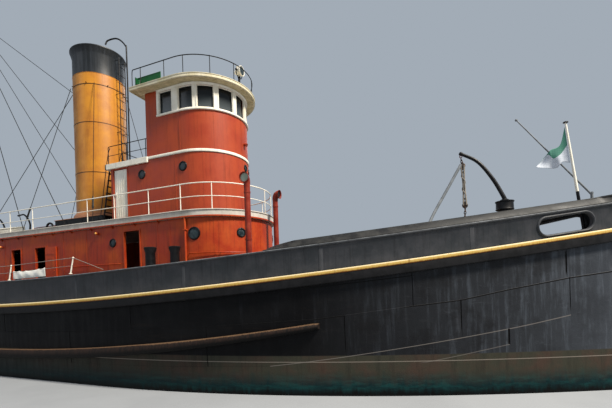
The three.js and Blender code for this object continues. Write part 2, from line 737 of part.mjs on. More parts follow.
const glassRing = slab(glassHalf, GLASS.aft, TOWER.arcX, PILOTHOUSE.sill - 60, PILOTHOUSE.head + 60).subtract(
  slab(glassHalf - GLASS.thick, GLASS.aft - 100, TOWER.arcX, 0, BIG),
);
add("pilothouse_glass", glassRing, "glass");

// Pilothouse roof with the searchlight's post
const ROOF = { half: 2082, aft: 6390, arcX: 8504, bottom: 11150, top: 11300 };
const SEARCHLIGHT = { x: 10180, z: 12080, radius: 190, length: 300, post: 45 };
const roofSlab = slab(ROOF.half, ROOF.aft, ROOF.arcX, ROOF.bottom, ROOF.top);
const lampPost = bar(
  [SEARCHLIGHT.x, 0, ROOF.top - 30],
  [SEARCHLIGHT.x, 0, SEARCHLIGHT.z - 260],
  SEARCHLIGHT.post,
);
add("pilothouse_roof", roofSlab.add(lampPost), "cream");
const ROOF_RAIL = { half: 1980, aft: 6550, height: 690, thick: 16 };
const roofRailPath = roundPath(ROOF_RAIL.half, ROOF_RAIL.aft, ROOF.arcX, 6, 1150);
add("roof_rail", guardRail(roofRailPath, ROOF.top + GAP, [ROOF_RAIL.height], ROOF_RAIL.thick), "black");
const lampBody = bar(
  [-SEARCHLIGHT.length / 2, 0, 0],
  [SEARCHLIGHT.length / 2, 0, 0],
  140,
  SEARCHLIGHT.radius,
  14,
);
const lampYoke = bar([0, 0, -240], [0, 0, 0], 50);
add("searchlight", lampBody.add(lampYoke), "lightGrey").position.set(SEARCHLIGHT.x, 0, SEARCHLIGHT.z);

// Side lights in their screens on the roof
const SCREEN = { aft: 6550, forward: 7750, y: 1790, height: 430, thick: 30, depth: 260, lamp: 95 };
for (const [sideName, side] of SIDES) {
  const z = ROOF.top + GAP;
  const back = box(SCREEN.aft, SCREEN.forward, -SCREEN.thick, SCREEN.thick, z, z + SCREEN.height);
  const wing = box(SCREEN.aft, SCREEN.aft + 40, 0, SCREEN.depth * 0.45, z, z + SCREEN.height);
  const lamp = bar(
    [SCREEN.aft + 160, 60, z],
    [SCREEN.aft + 160, 60, z + 300],
    SCREEN.lamp * 0.6,
    SCREEN.lamp * 0.6,
    10,
  );
  const whole = join([back, wing, lamp]);
  const turned = side > 0 ? whole : whole.mirror([0, 1, 0]);
  add("sidelight_" + sideName, turned.translate([0, side * SCREEN.y, 0]), side > 0 ? "signalRed" : "green");
}

// Funnel, open at the top, on its casing
const FUNNEL = {
  x: 2323,
  radius: 1119,
  wall: 40,
  bottom: 6612,
  skirt: 1250,
  skirtTop: 6900,
  top: 14600,
  rim: 1215,
};
const funnelProfile = [
  [FUNNEL.skirt, FUNNEL.bottom],
  [FUNNEL.skirt, FUNNEL.skirtTop],
  [FUNNEL.radius, FUNNEL.skirtTop + 60],
  [FUNNEL.radius, FUNNEL.top - 330],
  [FUNNEL.rim, FUNNEL.top - 30],
  [FUNNEL.rim, FUNNEL.top],
  [FUNNEL.radius - FUNNEL.wall, FUNNEL.top],
  [FUNNEL.radius - FUNNEL.wall, FUNNEL.bottom],
  [FUNNEL.skirt, FUNNEL.bottom],
].map(([r, z]) => new THREE.Vector2(r, z));
const funnelGeometry = new THREE.LatheGeometry(funnelProfile, 32).rotateX(Math.PI / 2);
add("funnel", funnelGeometry, "buff").position.x = FUNNEL.x;
const CASING = { aft: 950, forward: 4000, half: 1450, top: 6600 };
add(
  "funnel_casing",
  box(CASING.aft, CASING.forward, -CASING.half, CASING.half, ON_BOAT_DECK, CASING.top),
  "black",
);

// Ladder on the funnel's forward side, and the steam pipe that stands beside it and hooks over the funnel
const FUNNEL_LADDER = { angle: 0.1, half: 190, off: 110, bottom: 6640, top: 14300, rungs: 18, rail: 24 };
const STEAM_PIPE = { y: 330, bottom: 6900, radius: 38, clips: [7200, 9000, 10800, 12600, 14200] };
const ladderTurn = new THREE.Group();
ladderTurn.position.x = FUNNEL.x;
ladderTurn.rotation.z = FUNNEL_LADDER.angle;
ship.add(ladderTurn);
const ladderX = FUNNEL.skirt + FUNNEL_LADDER.off;
const ladderParts = [];
for (const y of [-FUNNEL_LADDER.half, FUNNEL_LADDER.half])
  ladderParts.push(
    bar(
      [ladderX, y, FUNNEL_LADDER.bottom],
      [ladderX, y, FUNNEL_LADDER.top],
      FUNNEL_LADDER.rail,
      FUNNEL_LADDER.rail,
      6,
    ),
  );
for (let i = 1; i <= FUNNEL_LADDER.rungs; i++) {
  const up = i / (FUNNEL_LADDER.rungs + 1);
  const z = FUNNEL_LADDER.bottom + (FUNNEL_LADDER.top - FUNNEL_LADDER.bottom) * up;
  ladderParts.push(
    box(ladderX - 12, ladderX + 12, -FUNNEL_LADDER.half, FUNNEL_LADDER.half, z - 12, z + 12),
  );
}
const steamPipe = pipe(
  [
    [ladderX, STEAM_PIPE.y, STEAM_PIPE.bottom],
    [ladderX, STEAM_PIPE.y, 10800],
    [ladderX, STEAM_PIPE.y, 14700],
    [ladderX - 60, STEAM_PIPE.y - 10, 15200],
    [ladderX - 400, 200, 15520],
    [ladderX - 800, 40, 15420],
    [ladderX - 900, -30, 15200],
  ],
  STEAM_PIPE.radius,
  24,
  6,
);
const clips = STEAM_PIPE.clips.map((z) =>
  box(ladderX - 12, ladderX + 12, FUNNEL_LADDER.half, STEAM_PIPE.y, z - 20, z + 20),
);
add("funnel_ladder_and_pipe", join([...ladderParts, steamPipe, ...clips]), "black", ladderTurn);

// Mast on the boat deck. The main stays meet at the hound, a fitting on its top that carries the pole.
const MAST = { x: -9000, bottom: ON_BOAT_DECK, top: 20400, radius: 170, topRadius: 95 };
add("mast", bar([MAST.x, 0, MAST.bottom], [MAST.x, 0, MAST.top], MAST.radius, MAST.topRadius, 12), "buff");
const HOUND = { half: 160, height: 500, pole: 55, poleTop: 22200, stayOff: 140 };
const STAY_RADIUS = 16;
// foot of each stay
const STAYS = [
  [1120, 0, 12850],
  [-200, -2120, 6150],
  [-200, 2120, 6150],
  [2600, -2120, 6150],
  [2600, 2120, 6150],
  [-10300, -2120, 6150],
  [-10300, 2120, 6150],
];
const houndZ = MAST.top + GAP;
const hound = box(
  MAST.x - HOUND.half,
  MAST.x + HOUND.half,
  -HOUND.half,
  HOUND.half,
  houndZ,
  houndZ + HOUND.height,
);
const pole = bar([MAST.x, 0, houndZ + HOUND.height - 50], [MAST.x, 0, HOUND.poleTop], HOUND.pole, 30, 8);
const stayBars = STAYS.map((foot, i) => {
  const off = new THREE.Vector2(foot[0] - MAST.x, foot[1]).setLength(HOUND.stayOff);
  return bar([MAST.x + off.x, off.y, houndZ + 60 + 50 * i], foot, STAY_RADIUS, STAY_RADIUS, 4);
});
add("mast_stays", join([hound, pole, ...stayBars]), "iron");

// Lifeboats under their covers, on chocks
const LIFEBOAT = { x: -8100, y: 1270, length: 4600, half: 790, depth: 720, keel: 6400, steps: 8 };
const boatRings = [];
for (let i = 0; i <= LIFEBOAT.steps; i++) {
  const t = -1 + (2 * i) / LIFEBOAT.steps;
  const wide = Math.max(0.04, 1 - Math.abs(t) ** 2.2);
  const half = LIFEBOAT.half * wide;
  const rail = LIFEBOAT.keel + LIFEBOAT.depth + 160 * t * t;
  const keel = LIFEBOAT.keel + 120 * t ** 4;
  const x = (t * LIFEBOAT.length) / 2;
  boatRings.push([
    [x, -20, keel],
    [x, -half * 0.7, keel + (rail - keel) * 0.3],
    [x, -half, rail],
    [x, 0, rail + 60 + 160 * wide],
    [x, half, rail],
    [x, half * 0.7, keel + (rail - keel) * 0.3],
    [x, 20, keel],
  ]);
}
const boatOutline = boatRings[4].map(([, y, z]) => new THREE.Vector2(y, z));
const CHOCKS = [-1100, 1100];
const boatBody = join([
  skin(boatRings, boatOutline),
  ...CHOCKS.map((x) => box(x - 60, x + 60, -520, 520, ON_BOAT_DECK, LIFEBOAT.keel + 150)),
]);
// Radial davits at each boat's ends: heel x from the boat's middle
const DAVIT = {
  y: 2225,
  ends: { after: -1300, forward: 1300 },
  radius: 55,
  knee: 7750,
  top: 8200,
  reach: 650,
};
for (const [sideName, side] of SIDES) {
  add("lifeboat_" + sideName, boatBody, "white").position.set(LIFEBOAT.x, side * LIFEBOAT.y, 0);
  for (const [end, offset] of Object.entries(DAVIT.ends)) {
    const arm = pipe(
      [
        [0, 0, ON_BOAT_DECK],
        [0, 0, 7200],
        [0, 0, DAVIT.knee],
        [0, -side * DAVIT.reach * 0.45, DAVIT.top],
        [0, -side * DAVIT.reach, DAVIT.top - 100],
      ],
      DAVIT.radius,
      14,
    );
    const flatFoot = arm.subtract(box(-200, 200, -200, 200, ON_BOAT_DECK - 500, ON_BOAT_DECK));
    add(
      ["boat_davit", end, sideName].join("_"),
      flatFoot,
      "black",
    ).position.set(LIFEBOAT.x + offset, side * DAVIT.y, 0);
  }
}

// Engine-room skylight with two lids hinged at the ridge
const SKYLIGHT = {
  aft: -2500,
  forward: -900,
  half: 420,
  wall: 50,
  eave: 6560,
  ridge: 6760,
  lid: 30,
  over: 60,
};
const gable = new THREE.Shape();
gable.moveTo(-SKYLIGHT.half, ON_BOAT_DECK);
gable.lineTo(SKYLIGHT.half, ON_BOAT_DECK);
gable.lineTo(SKYLIGHT.half, SKYLIGHT.eave);
gable.lineTo(40, SKYLIGHT.ridge);
gable.lineTo(-40, SKYLIGHT.ridge);
gable.lineTo(-SKYLIGHT.half, SKYLIGHT.eave);
gable.closePath();
const skylightGeometry = new THREE.ExtrudeGeometry(
  gable,
  { depth: SKYLIGHT.forward - SKYLIGHT.aft, bevelEnabled: false },
);
skylightGeometry.rotateX(Math.PI / 2).rotateZ(Math.PI / 2).translate(SKYLIGHT.aft, 0, 0);
const lights = SIDES.map(([, side]) => {
  const near = side * 40;
  const far = side * (SKYLIGHT.half - SKYLIGHT.wall);
  const w = SKYLIGHT.wall;
  return box(
    SKYLIGHT.aft + w,
    SKYLIGHT.forward - w,
    Math.min(near, far),
    Math.max(near, far),
    ON_BOAT_DECK + w,
    BIG / 4,
  );
});
add("skylight", cut(solid(skylightGeometry), lights), "houseRed");
const lidSlope = Math.atan2(SKYLIGHT.ridge - SKYLIGHT.eave, SKYLIGHT.half - 40);
const lidWidth = Math.hypot(SKYLIGHT.ridge - SKYLIGHT.eave, SKYLIGHT.half - 40) + SKYLIGHT.over;
for (const [sideName, side] of SIDES) {
  const y0 = Math.min(0, side * lidWidth);
  const y1 = Math.max(0, side * lidWidth);
  const lid = box(SKYLIGHT.aft - 30, SKYLIGHT.forward + 30, y0, y1, 0, SKYLIGHT.lid);
  const mesh = add("skylight_lid_" + sideName, lid, "houseRed");
  mesh.position.set(0, side * 46, SKYLIGHT.ridge + 14);
  mesh.rotation.x = -side * lidSlope;
}

// Slim cowl ventilators before the deckhouse: name, x, y, mouth heading, height of the mouth's centre
const COWL = { radius: 100, mouth: 175, bend: 200, wall: 14 };
const COWLS = [
  ["cowl_vent_starboard", 11900, -2600, -Math.PI / 2, 6820],
  ["cowl_vent_centre", 11640, 0, 0, 6860],
];
function cowl(radius, mouth, height, bottom, reach) {
  const rings = [];
  const sides = 10;
  const stations = [
    [0, bottom, 0, radius],
    [0, height - COWL.bend, 0, radius],
    [COWL.bend * 0.12, height - COWL.bend * 0.35, Math.PI / 8, radius * 1.1],
    [COWL.bend * 0.5, height - COWL.bend * 0.05, Math.PI / 3, radius * 1.3],
    [COWL.bend + reach, height, Math.PI / 2, mouth],
  ];
  for (const [x, z, tilt, r] of stations) {
    const ring = [];
    for (let i = 0; i < sides; i++) {
      const a = (i / sides) * 2 * Math.PI;
      ring.push(
        [x + r * Math.cos(a) * Math.cos(tilt), r * Math.sin(a), z - r * Math.cos(a) * Math.sin(tilt)],
      );
    }
    rings.push(ring);
  }
  const outline = rings[0].map(([x, y]) => new THREE.Vector2(x, y));
  return skin(rings, outline);
}
for (const [name, x, y, heading, mouthZ] of COWLS) {
  const outer = cowl(COWL.radius, COWL.mouth, mouthZ, sheer(x) - 100, 0);
  const inner = cowl(COWL.radius - COWL.wall, COWL.mouth - COWL.wall, mouthZ, mouthZ - 500, 20);
  const body = outer.subtract(inner).rotate([0, 0, THREE.MathUtils.radToDeg(heading)]).translate([x, y, 0]);
  add(name, onDeck(body), "ventRed");
}

// Towing winch on the after deck
const WINCH = { x: -12300, half: 900, cheek: 60, axle: 1000, drum: 330, flange: 560, shaft: 75 };
const winchDeck = sheer(WINCH.x) + DECK_CAMBER;
const winchZ = winchDeck + WINCH.axle;
const cheekShape = new THREE.Shape();
cheekShape.moveTo(-650, 0);
cheekShape.lineTo(650, 0);
cheekShape.lineTo(200, WINCH.axle + 150);
cheekShape.lineTo(-200, WINCH.axle + 150);
cheekShape.closePath();
const cheekHole = new THREE.Path().absarc(0, WINCH.axle, WINCH.shaft + CLEAR, 0, 2 * Math.PI, true);
cheekShape.holes.push(cheekHole);
const cheekGeometry = new THREE.ExtrudeGeometry(
  cheekShape,
  { depth: WINCH.cheek, bevelEnabled: false, curveSegments: 8 },
);
cheekGeometry.rotateX(Math.PI / 2);
const cheeks = SIDES.map(
  ([, side]) => solid(cheekGeometry).translate([0, side * WINCH.half + WINCH.cheek / 2, 0]),
);
const bedplate = box(-650, 650, -WINCH.half - 100, WINCH.half + 100, -160, 60);
add("towing_winch_frame", onDeck(join([...cheeks, bedplate]).translate([WINCH.x, 0, winchDeck])), "iron");
const drumParts = [bar([0, -WINCH.half - 130, 0], [0, WINCH.half + 130, 0], WINCH.shaft, WINCH.shaft, 12)];
const drumEnd = WINCH.half - WINCH.cheek / 2 - 30;
drumParts.push(bar([0, -drumEnd, 0], [0, drumEnd, 0], WINCH.drum, WINCH.drum, 16));
for (const [, side] of SIDES)
  drumParts.push(
    bar([0, side * drumEnd, 0], [0, side * (drumEnd - 50), 0], WINCH.flange, WINCH.flange, 20),
  );
add("towing_winch_drum", join(drumParts), "iron").position.set(WINCH.x, 0, winchZ);

// Towing bitts: two posts and a crossbar
const BITTS = { x: -14900, y: 620, radius: 210, height: 1250, bar: 850, barRadius: 130, barHalf: 1000 };
const bittsDeck = sheer(BITTS.x);
const bitts = [
  bar(
    [BITTS.x, -BITTS.barHalf, bittsDeck + BITTS.bar],
    [BITTS.x, BITTS.barHalf, bittsDeck + BITTS.bar],
    BITTS.barRadius,
    BITTS.barRadius,
    12,
  ),
];
for (const [, side] of SIDES)
  bitts.push(
    bar(
      [BITTS.x, side * BITTS.y, bittsDeck - 150],
      [BITTS.x, side * BITTS.y, bittsDeck + BITTS.height],
      BITTS.radius,
      BITTS.radius,
      14,
    ),
  );
add("towing_bitts", onDeck(join(bitts)), "black");

// Windlass on the foredeck
const WINDLASS = {
  x: 16800,
  half: 620,
  cheek: 70,
  axle: 640,
  barrel: 190,
  head: 250,
  shaft: 60,
  reach: 1150,
};
const windlassDeck = sheer(WINDLASS.x) + DECK_CAMBER;
const windlassCheek = new THREE.Shape();
windlassCheek.moveTo(-420, 0);
windlassCheek.lineTo(420, 0);
windlassCheek.lineTo(150, WINDLASS.axle + 130);
windlassCheek.lineTo(-150, WINDLASS.axle + 130);
windlassCheek.closePath();
windlassCheek.holes.push(
  new THREE.Path().absarc(0, WINDLASS.axle, WINDLASS.shaft + CLEAR, 0, 2 * Math.PI, true),
);
const windlassCheekGeometry = new THREE.ExtrudeGeometry(
  windlassCheek,
  { depth: WINDLASS.cheek, bevelEnabled: false, curveSegments: 8 },
);
windlassCheekGeometry.rotateX(Math.PI / 2);
const windlassCheeks = SIDES.map(([, side]) =>
  solid(windlassCheekGeometry).translate([0, side * WINDLASS.half + WINDLASS.cheek / 2, 0]),
);
const windlassBed = box(-480, 480, -WINDLASS.half - 80, WINDLASS.half + 80, -220, 70);
add(
  "windlass_frame",
  onDeck(join([...windlassCheeks, windlassBed]).translate([WINDLASS.x, 0, windlassDeck])),
  "iron",
);
const inside = WINDLASS.half - WINDLASS.cheek / 2 - 30;
const outside = WINDLASS.half + WINDLASS.cheek / 2 + 30;
const windlassParts = [
  bar([0, -WINDLASS.reach, 0], [0, WINDLASS.reach, 0], WINDLASS.shaft, WINDLASS.shaft, 12),
  bar([0, -inside, 0], [0, inside, 0], WINDLASS.barrel, WINDLASS.barrel, 16),
];
for (const [, side] of SIDES)
  windlassParts.push(
    bar([0, side * outside, 0], [0, side * WINDLASS.reach, 0], WINDLASS.head * 0.75, WINDLASS.head, 14),
  );
add(
  "windlass_barrel",
  join(windlassParts),
  "iron",
).position.set(WINDLASS.x, 0, windlassDeck + WINDLASS.axle);

// Anchor davit in its pedestal, with its tackle made fast to the deck under the tip
const PEDESTAL = { x: 19550, y: -780, radius: 185, cap: 250, capBottom: 5300, top: 5560 };
const pedestal = join([
  bar(
    [PEDESTAL.x, PEDESTAL.y, sheer(PEDESTAL.x) - 150],
    [PEDESTAL.x, PEDESTAL.y, PEDESTAL.capBottom + 10],
    PEDESTAL.radius,
    PEDESTAL.radius,
    14,
  ),
  bar(
    [PEDESTAL.x, PEDESTAL.y, PEDESTAL.capBottom],
    [PEDESTAL.x, PEDESTAL.y, PEDESTAL.top],
    PEDESTAL.cap,
    PEDESTAL.cap,
    16,
  ),
]);
add("davit_pedestal", onDeck(pedestal), "black");
const DAVIT_TUBE = 58;
const davitTip = [18410, 7150];
const davitTube = pipe(
  [
    [0, 0, PEDESTAL.top + GAP],
    [-20, 0, 5700],
    [-300, 0, 6280],
    [-680, 0, 6830],
    [davitTip[0] - PEDESTAL.x, 0, davitTip[1]],
  ],
  DAVIT_TUBE,
  14,
);
const davitCollar = bar([0, 0, PEDESTAL.top + GAP], [0, 0, PEDESTAL.top + 60], 130, 90, 12);
const davitFloor = box(-400, 400, -400, 400, PEDESTAL.top - 500, PEDESTAL.top + GAP);
add(
  "anchor_davit",
  join([davitTube, davitCollar]).subtract(davitFloor),
  "black",
).position.set(PEDESTAL.x, PEDESTAL.y, 0);
const TACKLE = { x: 18400, block: 70, chain: 32, top: 7040, blockLow: 6500 };
const tackle = join([
  bar([TACKLE.x, PEDESTAL.y, TACKLE.top], [TACKLE.x, PEDESTAL.y, TACKLE.blockLow], 40, TACKLE.block, 8),
  bar(
    [TACKLE.x, PEDESTAL.y, TACKLE.blockLow + 5],
    [TACKLE.x, PEDESTAL.y, sheer(TACKLE.x) - 60],
    TACKLE.block,
    TACKLE.chain,
    8,
  ),
]);
add("davit_tackle", onDeck(tackle), "iron");

// Jackstaff, its flag and the steering pole at the stem
const STAFF = { foot: [21690, 0, 4400], top: [21318, 0, 7860], radius: 42, topRadius: 28, truck: 55 };
const staff = bar(STAFF.foot, STAFF.top, STAFF.radius, STAFF.topRadius).add(ball(STAFF.top, STAFF.truck));
add("jackstaff", onDeck(staff), "white");
const FLAG_THICK = 24;
// Corners of the hanging flag seen from the side: x, z
const FLAG_CORNERS = [
  [21255, 7760],
  [21370, 6680],
  [21120, 6640],
  [20500, 6630],
  [20870, 6900],
  [20880, 7110],
  [21130, 7220],
];
const flagShape = new THREE.Shape(FLAG_CORNERS.map(([x, z]) => new THREE.Vector2(x, z)));
const flagGeometry = new THREE.ExtrudeGeometry(flagShape, { depth: FLAG_THICK, bevelEnabled: false });
add("flag", flagGeometry.translate(0, 0, -FLAG_THICK / 2).rotateX(Math.PI / 2), "green");
const POLE = { heel: [21930, 150, 5700], tip: [20060, 150, 8240], radius: 30, knob: 55 };
const poleBody = join([
  bar(POLE.heel, POLE.tip, POLE.radius, POLE.radius * 0.7),
  ball(POLE.tip, POLE.knob),
  bar(
    [POLE.heel[0] + 20, POLE.heel[1], apexTop(22000) + GAP],
    [POLE.heel[0] + 20, POLE.heel[1], POLE.heel[2] + 30],
    55,
    55,
    8,
  ),
]);
add("steering_pole", poleBody, "black");

// Canvas dodger on the bulwark's guard rail
const DODGER = { aft: 2150, forward: 4050, y: -3900, thick: 30, height: 340 };
const dodgerLow = sheer(DODGER.forward) + BULWARK_AFT + GAP;
add(
  "canvas_dodger",
  box(DODGER.aft, DODGER.forward, DODGER.y, DODGER.y + DODGER.thick, dodgerLow, dodgerLow + DODGER.height),
  "canvas",
);

export default ship;
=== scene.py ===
"""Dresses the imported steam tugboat: plating, paint, fittings, rigging, canvas and the stage for its photo."""

import bpy
import numpy as np
from mathutils import Color, Matrix, Vector


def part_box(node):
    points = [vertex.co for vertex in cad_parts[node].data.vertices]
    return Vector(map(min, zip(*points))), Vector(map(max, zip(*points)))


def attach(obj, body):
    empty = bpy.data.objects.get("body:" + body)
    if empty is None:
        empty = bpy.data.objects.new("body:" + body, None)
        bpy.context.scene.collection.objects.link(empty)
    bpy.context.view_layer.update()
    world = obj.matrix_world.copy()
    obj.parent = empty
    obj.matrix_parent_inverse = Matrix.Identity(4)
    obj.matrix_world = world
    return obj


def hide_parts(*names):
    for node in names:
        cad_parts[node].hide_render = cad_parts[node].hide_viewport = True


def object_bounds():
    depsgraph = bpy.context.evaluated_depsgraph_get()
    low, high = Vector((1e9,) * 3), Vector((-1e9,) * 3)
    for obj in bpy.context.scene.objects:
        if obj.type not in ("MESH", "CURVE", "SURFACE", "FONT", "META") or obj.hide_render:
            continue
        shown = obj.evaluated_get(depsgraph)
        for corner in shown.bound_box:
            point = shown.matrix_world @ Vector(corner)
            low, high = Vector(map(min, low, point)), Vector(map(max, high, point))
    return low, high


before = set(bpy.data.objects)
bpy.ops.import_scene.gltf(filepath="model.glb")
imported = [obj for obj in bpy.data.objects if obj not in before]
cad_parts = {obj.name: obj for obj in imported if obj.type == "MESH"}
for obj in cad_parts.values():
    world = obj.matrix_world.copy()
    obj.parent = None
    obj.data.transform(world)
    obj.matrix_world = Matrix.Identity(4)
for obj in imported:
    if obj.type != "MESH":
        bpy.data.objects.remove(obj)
cad_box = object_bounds()

bl_info = {
    "name": "Steam tugboat",
    "version": (1, 0, 0),
    "blender": (4, 5, 0),
    "location": "View3D > Sidebar > Tugboat",
    "description": "Weathered looks and fittings for a steam tugboat model",
    "category": "Add Mesh",
}

# Lengths below are millimetres of the full-size ship, and SCALE turns them into metres of the model.
SCALE = 0.0005
STARBOARD, PORT = -1, 1
UP, DOWN, AFT = (0, 0, 1), (0, 0, -1), (-1, 0, 0)
SIDES = (STARBOARD, PORT)
SHIP = "ship"


# Numbers and paths


def linear(hex_colour):
    """An sRGB hex colour as linear red, green, blue and alpha."""
    coded = np.array([int(hex_colour[i : i + 2], 16) for i in (1, 3, 5)]) / 255
    light = np.where(coded <= 0.04045, coded / 12.92, ((coded + 0.055) / 1.055) ** 2.4)
    return (*light, 1.0)


def unit(vectors):
    """Vectors divided by their own length."""
    return vectors / np.linalg.norm(vectors, axis=-1, keepdims=True)


def smooth_path(corners, count):
    """Points along a Catmull-Rom curve: each span is a cubic of the four corners round it."""
    p = np.asarray(corners, float)
    p = np.vstack([2 * p[0] - p[1], p, 2 * p[-1] - p[-2]])
    at = np.linspace(0, len(p) - 3, count)
    i = np.minimum(at.astype(int), len(p) - 4)
    t = (at - i)[:, None]
    a, b, c, d = p[i], p[i + 1], p[i + 2], p[i + 3]
    return 0.5 * (2 * b + (c - a) * t + (2 * a - 5 * b + 4 * c - d) * t**2 + (3 * b - a - 3 * c + d) * t**3)


def line(start, end, count=2):
    """Evenly spaced points on a straight line."""
    return np.linspace(np.asarray(start, float), np.asarray(end, float), count)


def circle(count):
    """Points of a unit circle: (cos, sin) of even angles."""
    angle = np.arange(count) * 2 * np.pi / count
    return np.column_stack([np.cos(angle), np.sin(angle)])


def between(first, last, count):
    """Rows of points in even steps from one row to another."""
    share = np.linspace(0, 1, count)[:, None, None]
    return first * (1 - share) + last * share


def steps_along(path, loop):
    """Directions along a path, each from the point before to the point after."""
    return np.roll(path, -1, 0) - np.roll(path, 1, 0) if loop else np.gradient(path, axis=0)


# Surfaces as (vertices, faces)


def surface(points, around=False, ends=False, loop=False):
    """A grid of points[row, column] as a surface; around closes columns, loop closes rows, ends caps both."""
    rows, columns = points.shape[:2]
    r, c = np.meshgrid(np.arange(rows - (not loop)), np.arange(columns - (not around)), indexing="ij")
    r2, c2 = (r + 1) % rows, (c + 1) % columns
    low, high = r * columns, r2 * columns
    quads = np.stack([low + c, low + c2, high + c2, high + c], -1).reshape(-1, 4)
    faces = quads.tolist()
    vertices = points.reshape(-1, 3)
    if ends:
        faces.append(list(range(columns))[::-1])
        faces.append(list(range((rows - 1) * columns, rows * columns)))
    if ends or (around and loop):
        middle = vertices.mean(0)
        a, b, c, d = (vertices[quads[:, k]] - middle for k in range(4))
        outward = (a * np.cross(b, c)).sum() + (a * np.cross(c, d)).sum()
        if outward < 0:
            faces = [face[::-1] for face in faces]
    return vertices, faces


def solid(rings):
    """Rings of points joined one after another, and capped at both ends."""
    return surface(np.asarray(rings), around=True, ends=True)


def closed(rings):
    """Rings of points joined one after another, and the last to the first."""
    return surface(np.asarray(rings), around=True, loop=True)


def frames(path, loop=False):
    """Unit vectors square to a path: its cross product with the axis it runs least along, and the next."""
    along = unit(steps_along(path, loop))
    axis = np.eye(3)[np.argmin(np.abs(along).mean(0))]
    side = unit(np.cross(along, axis))
    return side, np.cross(along, side)


def hoops(path, sides, loop=False):
    """Unit vectors round each point of a path: (cos, sin) of even angles in the frame there."""
    side, up = frames(path, loop)
    c, s = circle(sides).T[..., None]
    return side[:, None] * c + up[:, None] * s


def tube(path, radius, sides=10, loop=False):
    """A round tube: each point of a path plus a radius times the unit vectors round it."""
    path = np.asarray(path, float)
    radius = np.broadcast_to(np.asarray(radius, float), (len(path),))[:, None, None]
    return surface(path[:, None] + hoops(path, sides, loop) * radius, around=True, ends=not loop, loop=loop)


def rod(start, end, radius, sides=10, end_radius=None):
    """A straight round bar, or a cone when it ends in another radius."""
    return tube(line(start, end), [radius, radius if end_radius is None else end_radius], sides)


def lathe(profile, origin, axis=(0, 0, 1), sides=32):
    """A profile of (radius, height) turned about an axis: height along it, radius * (cos, sin) about it."""
    profile = np.asarray(profile, float)
    axis = unit(np.asarray(axis, float))
    side = unit(np.cross(axis, np.eye(3)[np.argmin(np.abs(axis))]))
    up = np.cross(axis, side)
    ring = circle(sides) @ np.stack([side, up])
    points = np.asarray(origin, float) + profile[:, 1, None, None] * axis + profile[:, 0, None, None] * ring
    meets = np.allclose(profile[0], profile[-1])
    return surface(points[:-1] if meets else points, around=True, ends=not meets, loop=meets)


def block(low, high, edge=8.0):
    """A box between two opposite corners, its edges chamfered, as four stacked rings."""
    low, high = np.sort(np.array([low, high], float), axis=0)
    edge = min(edge, 0.45 * (high - low).min())
    corner = np.array([[-1, -1], [1, -1], [1, 1], [-1, 1]])
    cut = np.array([[[0, 1], [1, 0]], [[-1, 0], [0, 1]], [[0, -1], [-1, 0]], [[1, 0], [0, -1]]])
    half = (high - low)[:2] / 2
    outer = (corner[:, None] * half + cut * edge).reshape(-1, 2)
    inner = outer * (half - edge) / half
    heights = [low[2], low[2] + edge, high[2] - edge, high[2]]
    rings = [np.column_stack([ring, np.full(8, z)]) for ring, z in zip((inner, outer, outer, inner), heights)]
    points = np.array(rings)
    points[..., :2] += (low + high)[:2] / 2
    return solid(points)


def turned(vertices, angle):
    """Vertices turned about the vertical through the origin."""
    c, s = np.cos(angle), np.sin(angle)
    return vertices @ np.array([[c, s, 0], [-s, c, 0], [0, 0, 1]])


def mirrored(parts):
    """Parts with their copies on the other side of the centreline."""
    return parts + [(vertices * (1, -1, 1), [face[::-1] for face in faces]) for vertices, faces in parts]


def ball(centre, radius, sides=14):
    """A ball turned from a half circle."""
    angle = np.linspace(0.04, np.pi - 0.04, 9)
    return lathe(np.column_stack([np.sin(angle), -np.cos(angle)]) * radius, centre, sides=sides)


def flange(radius, lip, waist, high, bore=0.5):
    """Profile of a turned foot: a lip, then a slope in to its waist. With a real bore it closes on itself."""
    corners = [(bore, 0), (radius, 0), (radius, lip), (waist, high), (bore, high)]
    return corners if bore < 1 else [*corners, corners[0]]


def collar(inner, outer, low, high):
    """Profile of a plain band, closed on itself."""
    return [(inner, low), (outer, low), (outer, high), (inner, high), (inner, low)]


# Pieces

# Every finish of the ship by name, filled when the paints are mixed
LOOKS = {}


def mesh_of(name, parts):
    """One mesh of many parts, scaled to the model."""
    vertices = np.vstack([v for v, _ in parts]) * SCALE
    starts = np.cumsum([0] + [len(v) for v, _ in parts])
    faces = [[i + start for i in face] for (_, part), start in zip(parts, starts) for face in part]
    mesh = bpy.data.meshes.new(name)
    mesh.from_pydata(vertices.tolist(), [], faces)
    mesh.update()
    return mesh


def placed(name, data):
    """A new object in the scene."""
    made = bpy.data.objects.new(name, data)
    bpy.context.scene.collection.objects.link(made)
    return made


def piece(name, parts, look, replaces=(), body=SHIP, sharp=35):
    """A piece of the ship: one mesh with its finish, riding on a body, in place of CAD nodes."""
    made = placed(name, mesh_of(name, parts))
    made.data.materials.append(LOOKS[look])
    made.data.polygons.foreach_set("use_smooth", [True] * len(made.data.polygons))
    made.data.set_sharp_from_angle(angle=np.radians(sharp))
    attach(made, body)
    if replaces:
        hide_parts(*replaces)
    return made


def carve(made, parts):
    """Cuts closed parts out of a piece, and leaves the result as its plain mesh."""
    tool = placed("cutter", mesh_of("cutter", parts))
    cut = made.modifiers.new("cut", "BOOLEAN")
    cut.operation = "DIFFERENCE"
    cut.object = tool
    cut.solver = "EXACT"
    bpy.context.view_layer.update()
    result = bpy.data.meshes.new_from_object(made.evaluated_get(bpy.context.evaluated_depsgraph_get()))
    made.modifiers.clear()
    made.data = result
    bpy.data.objects.remove(tool)


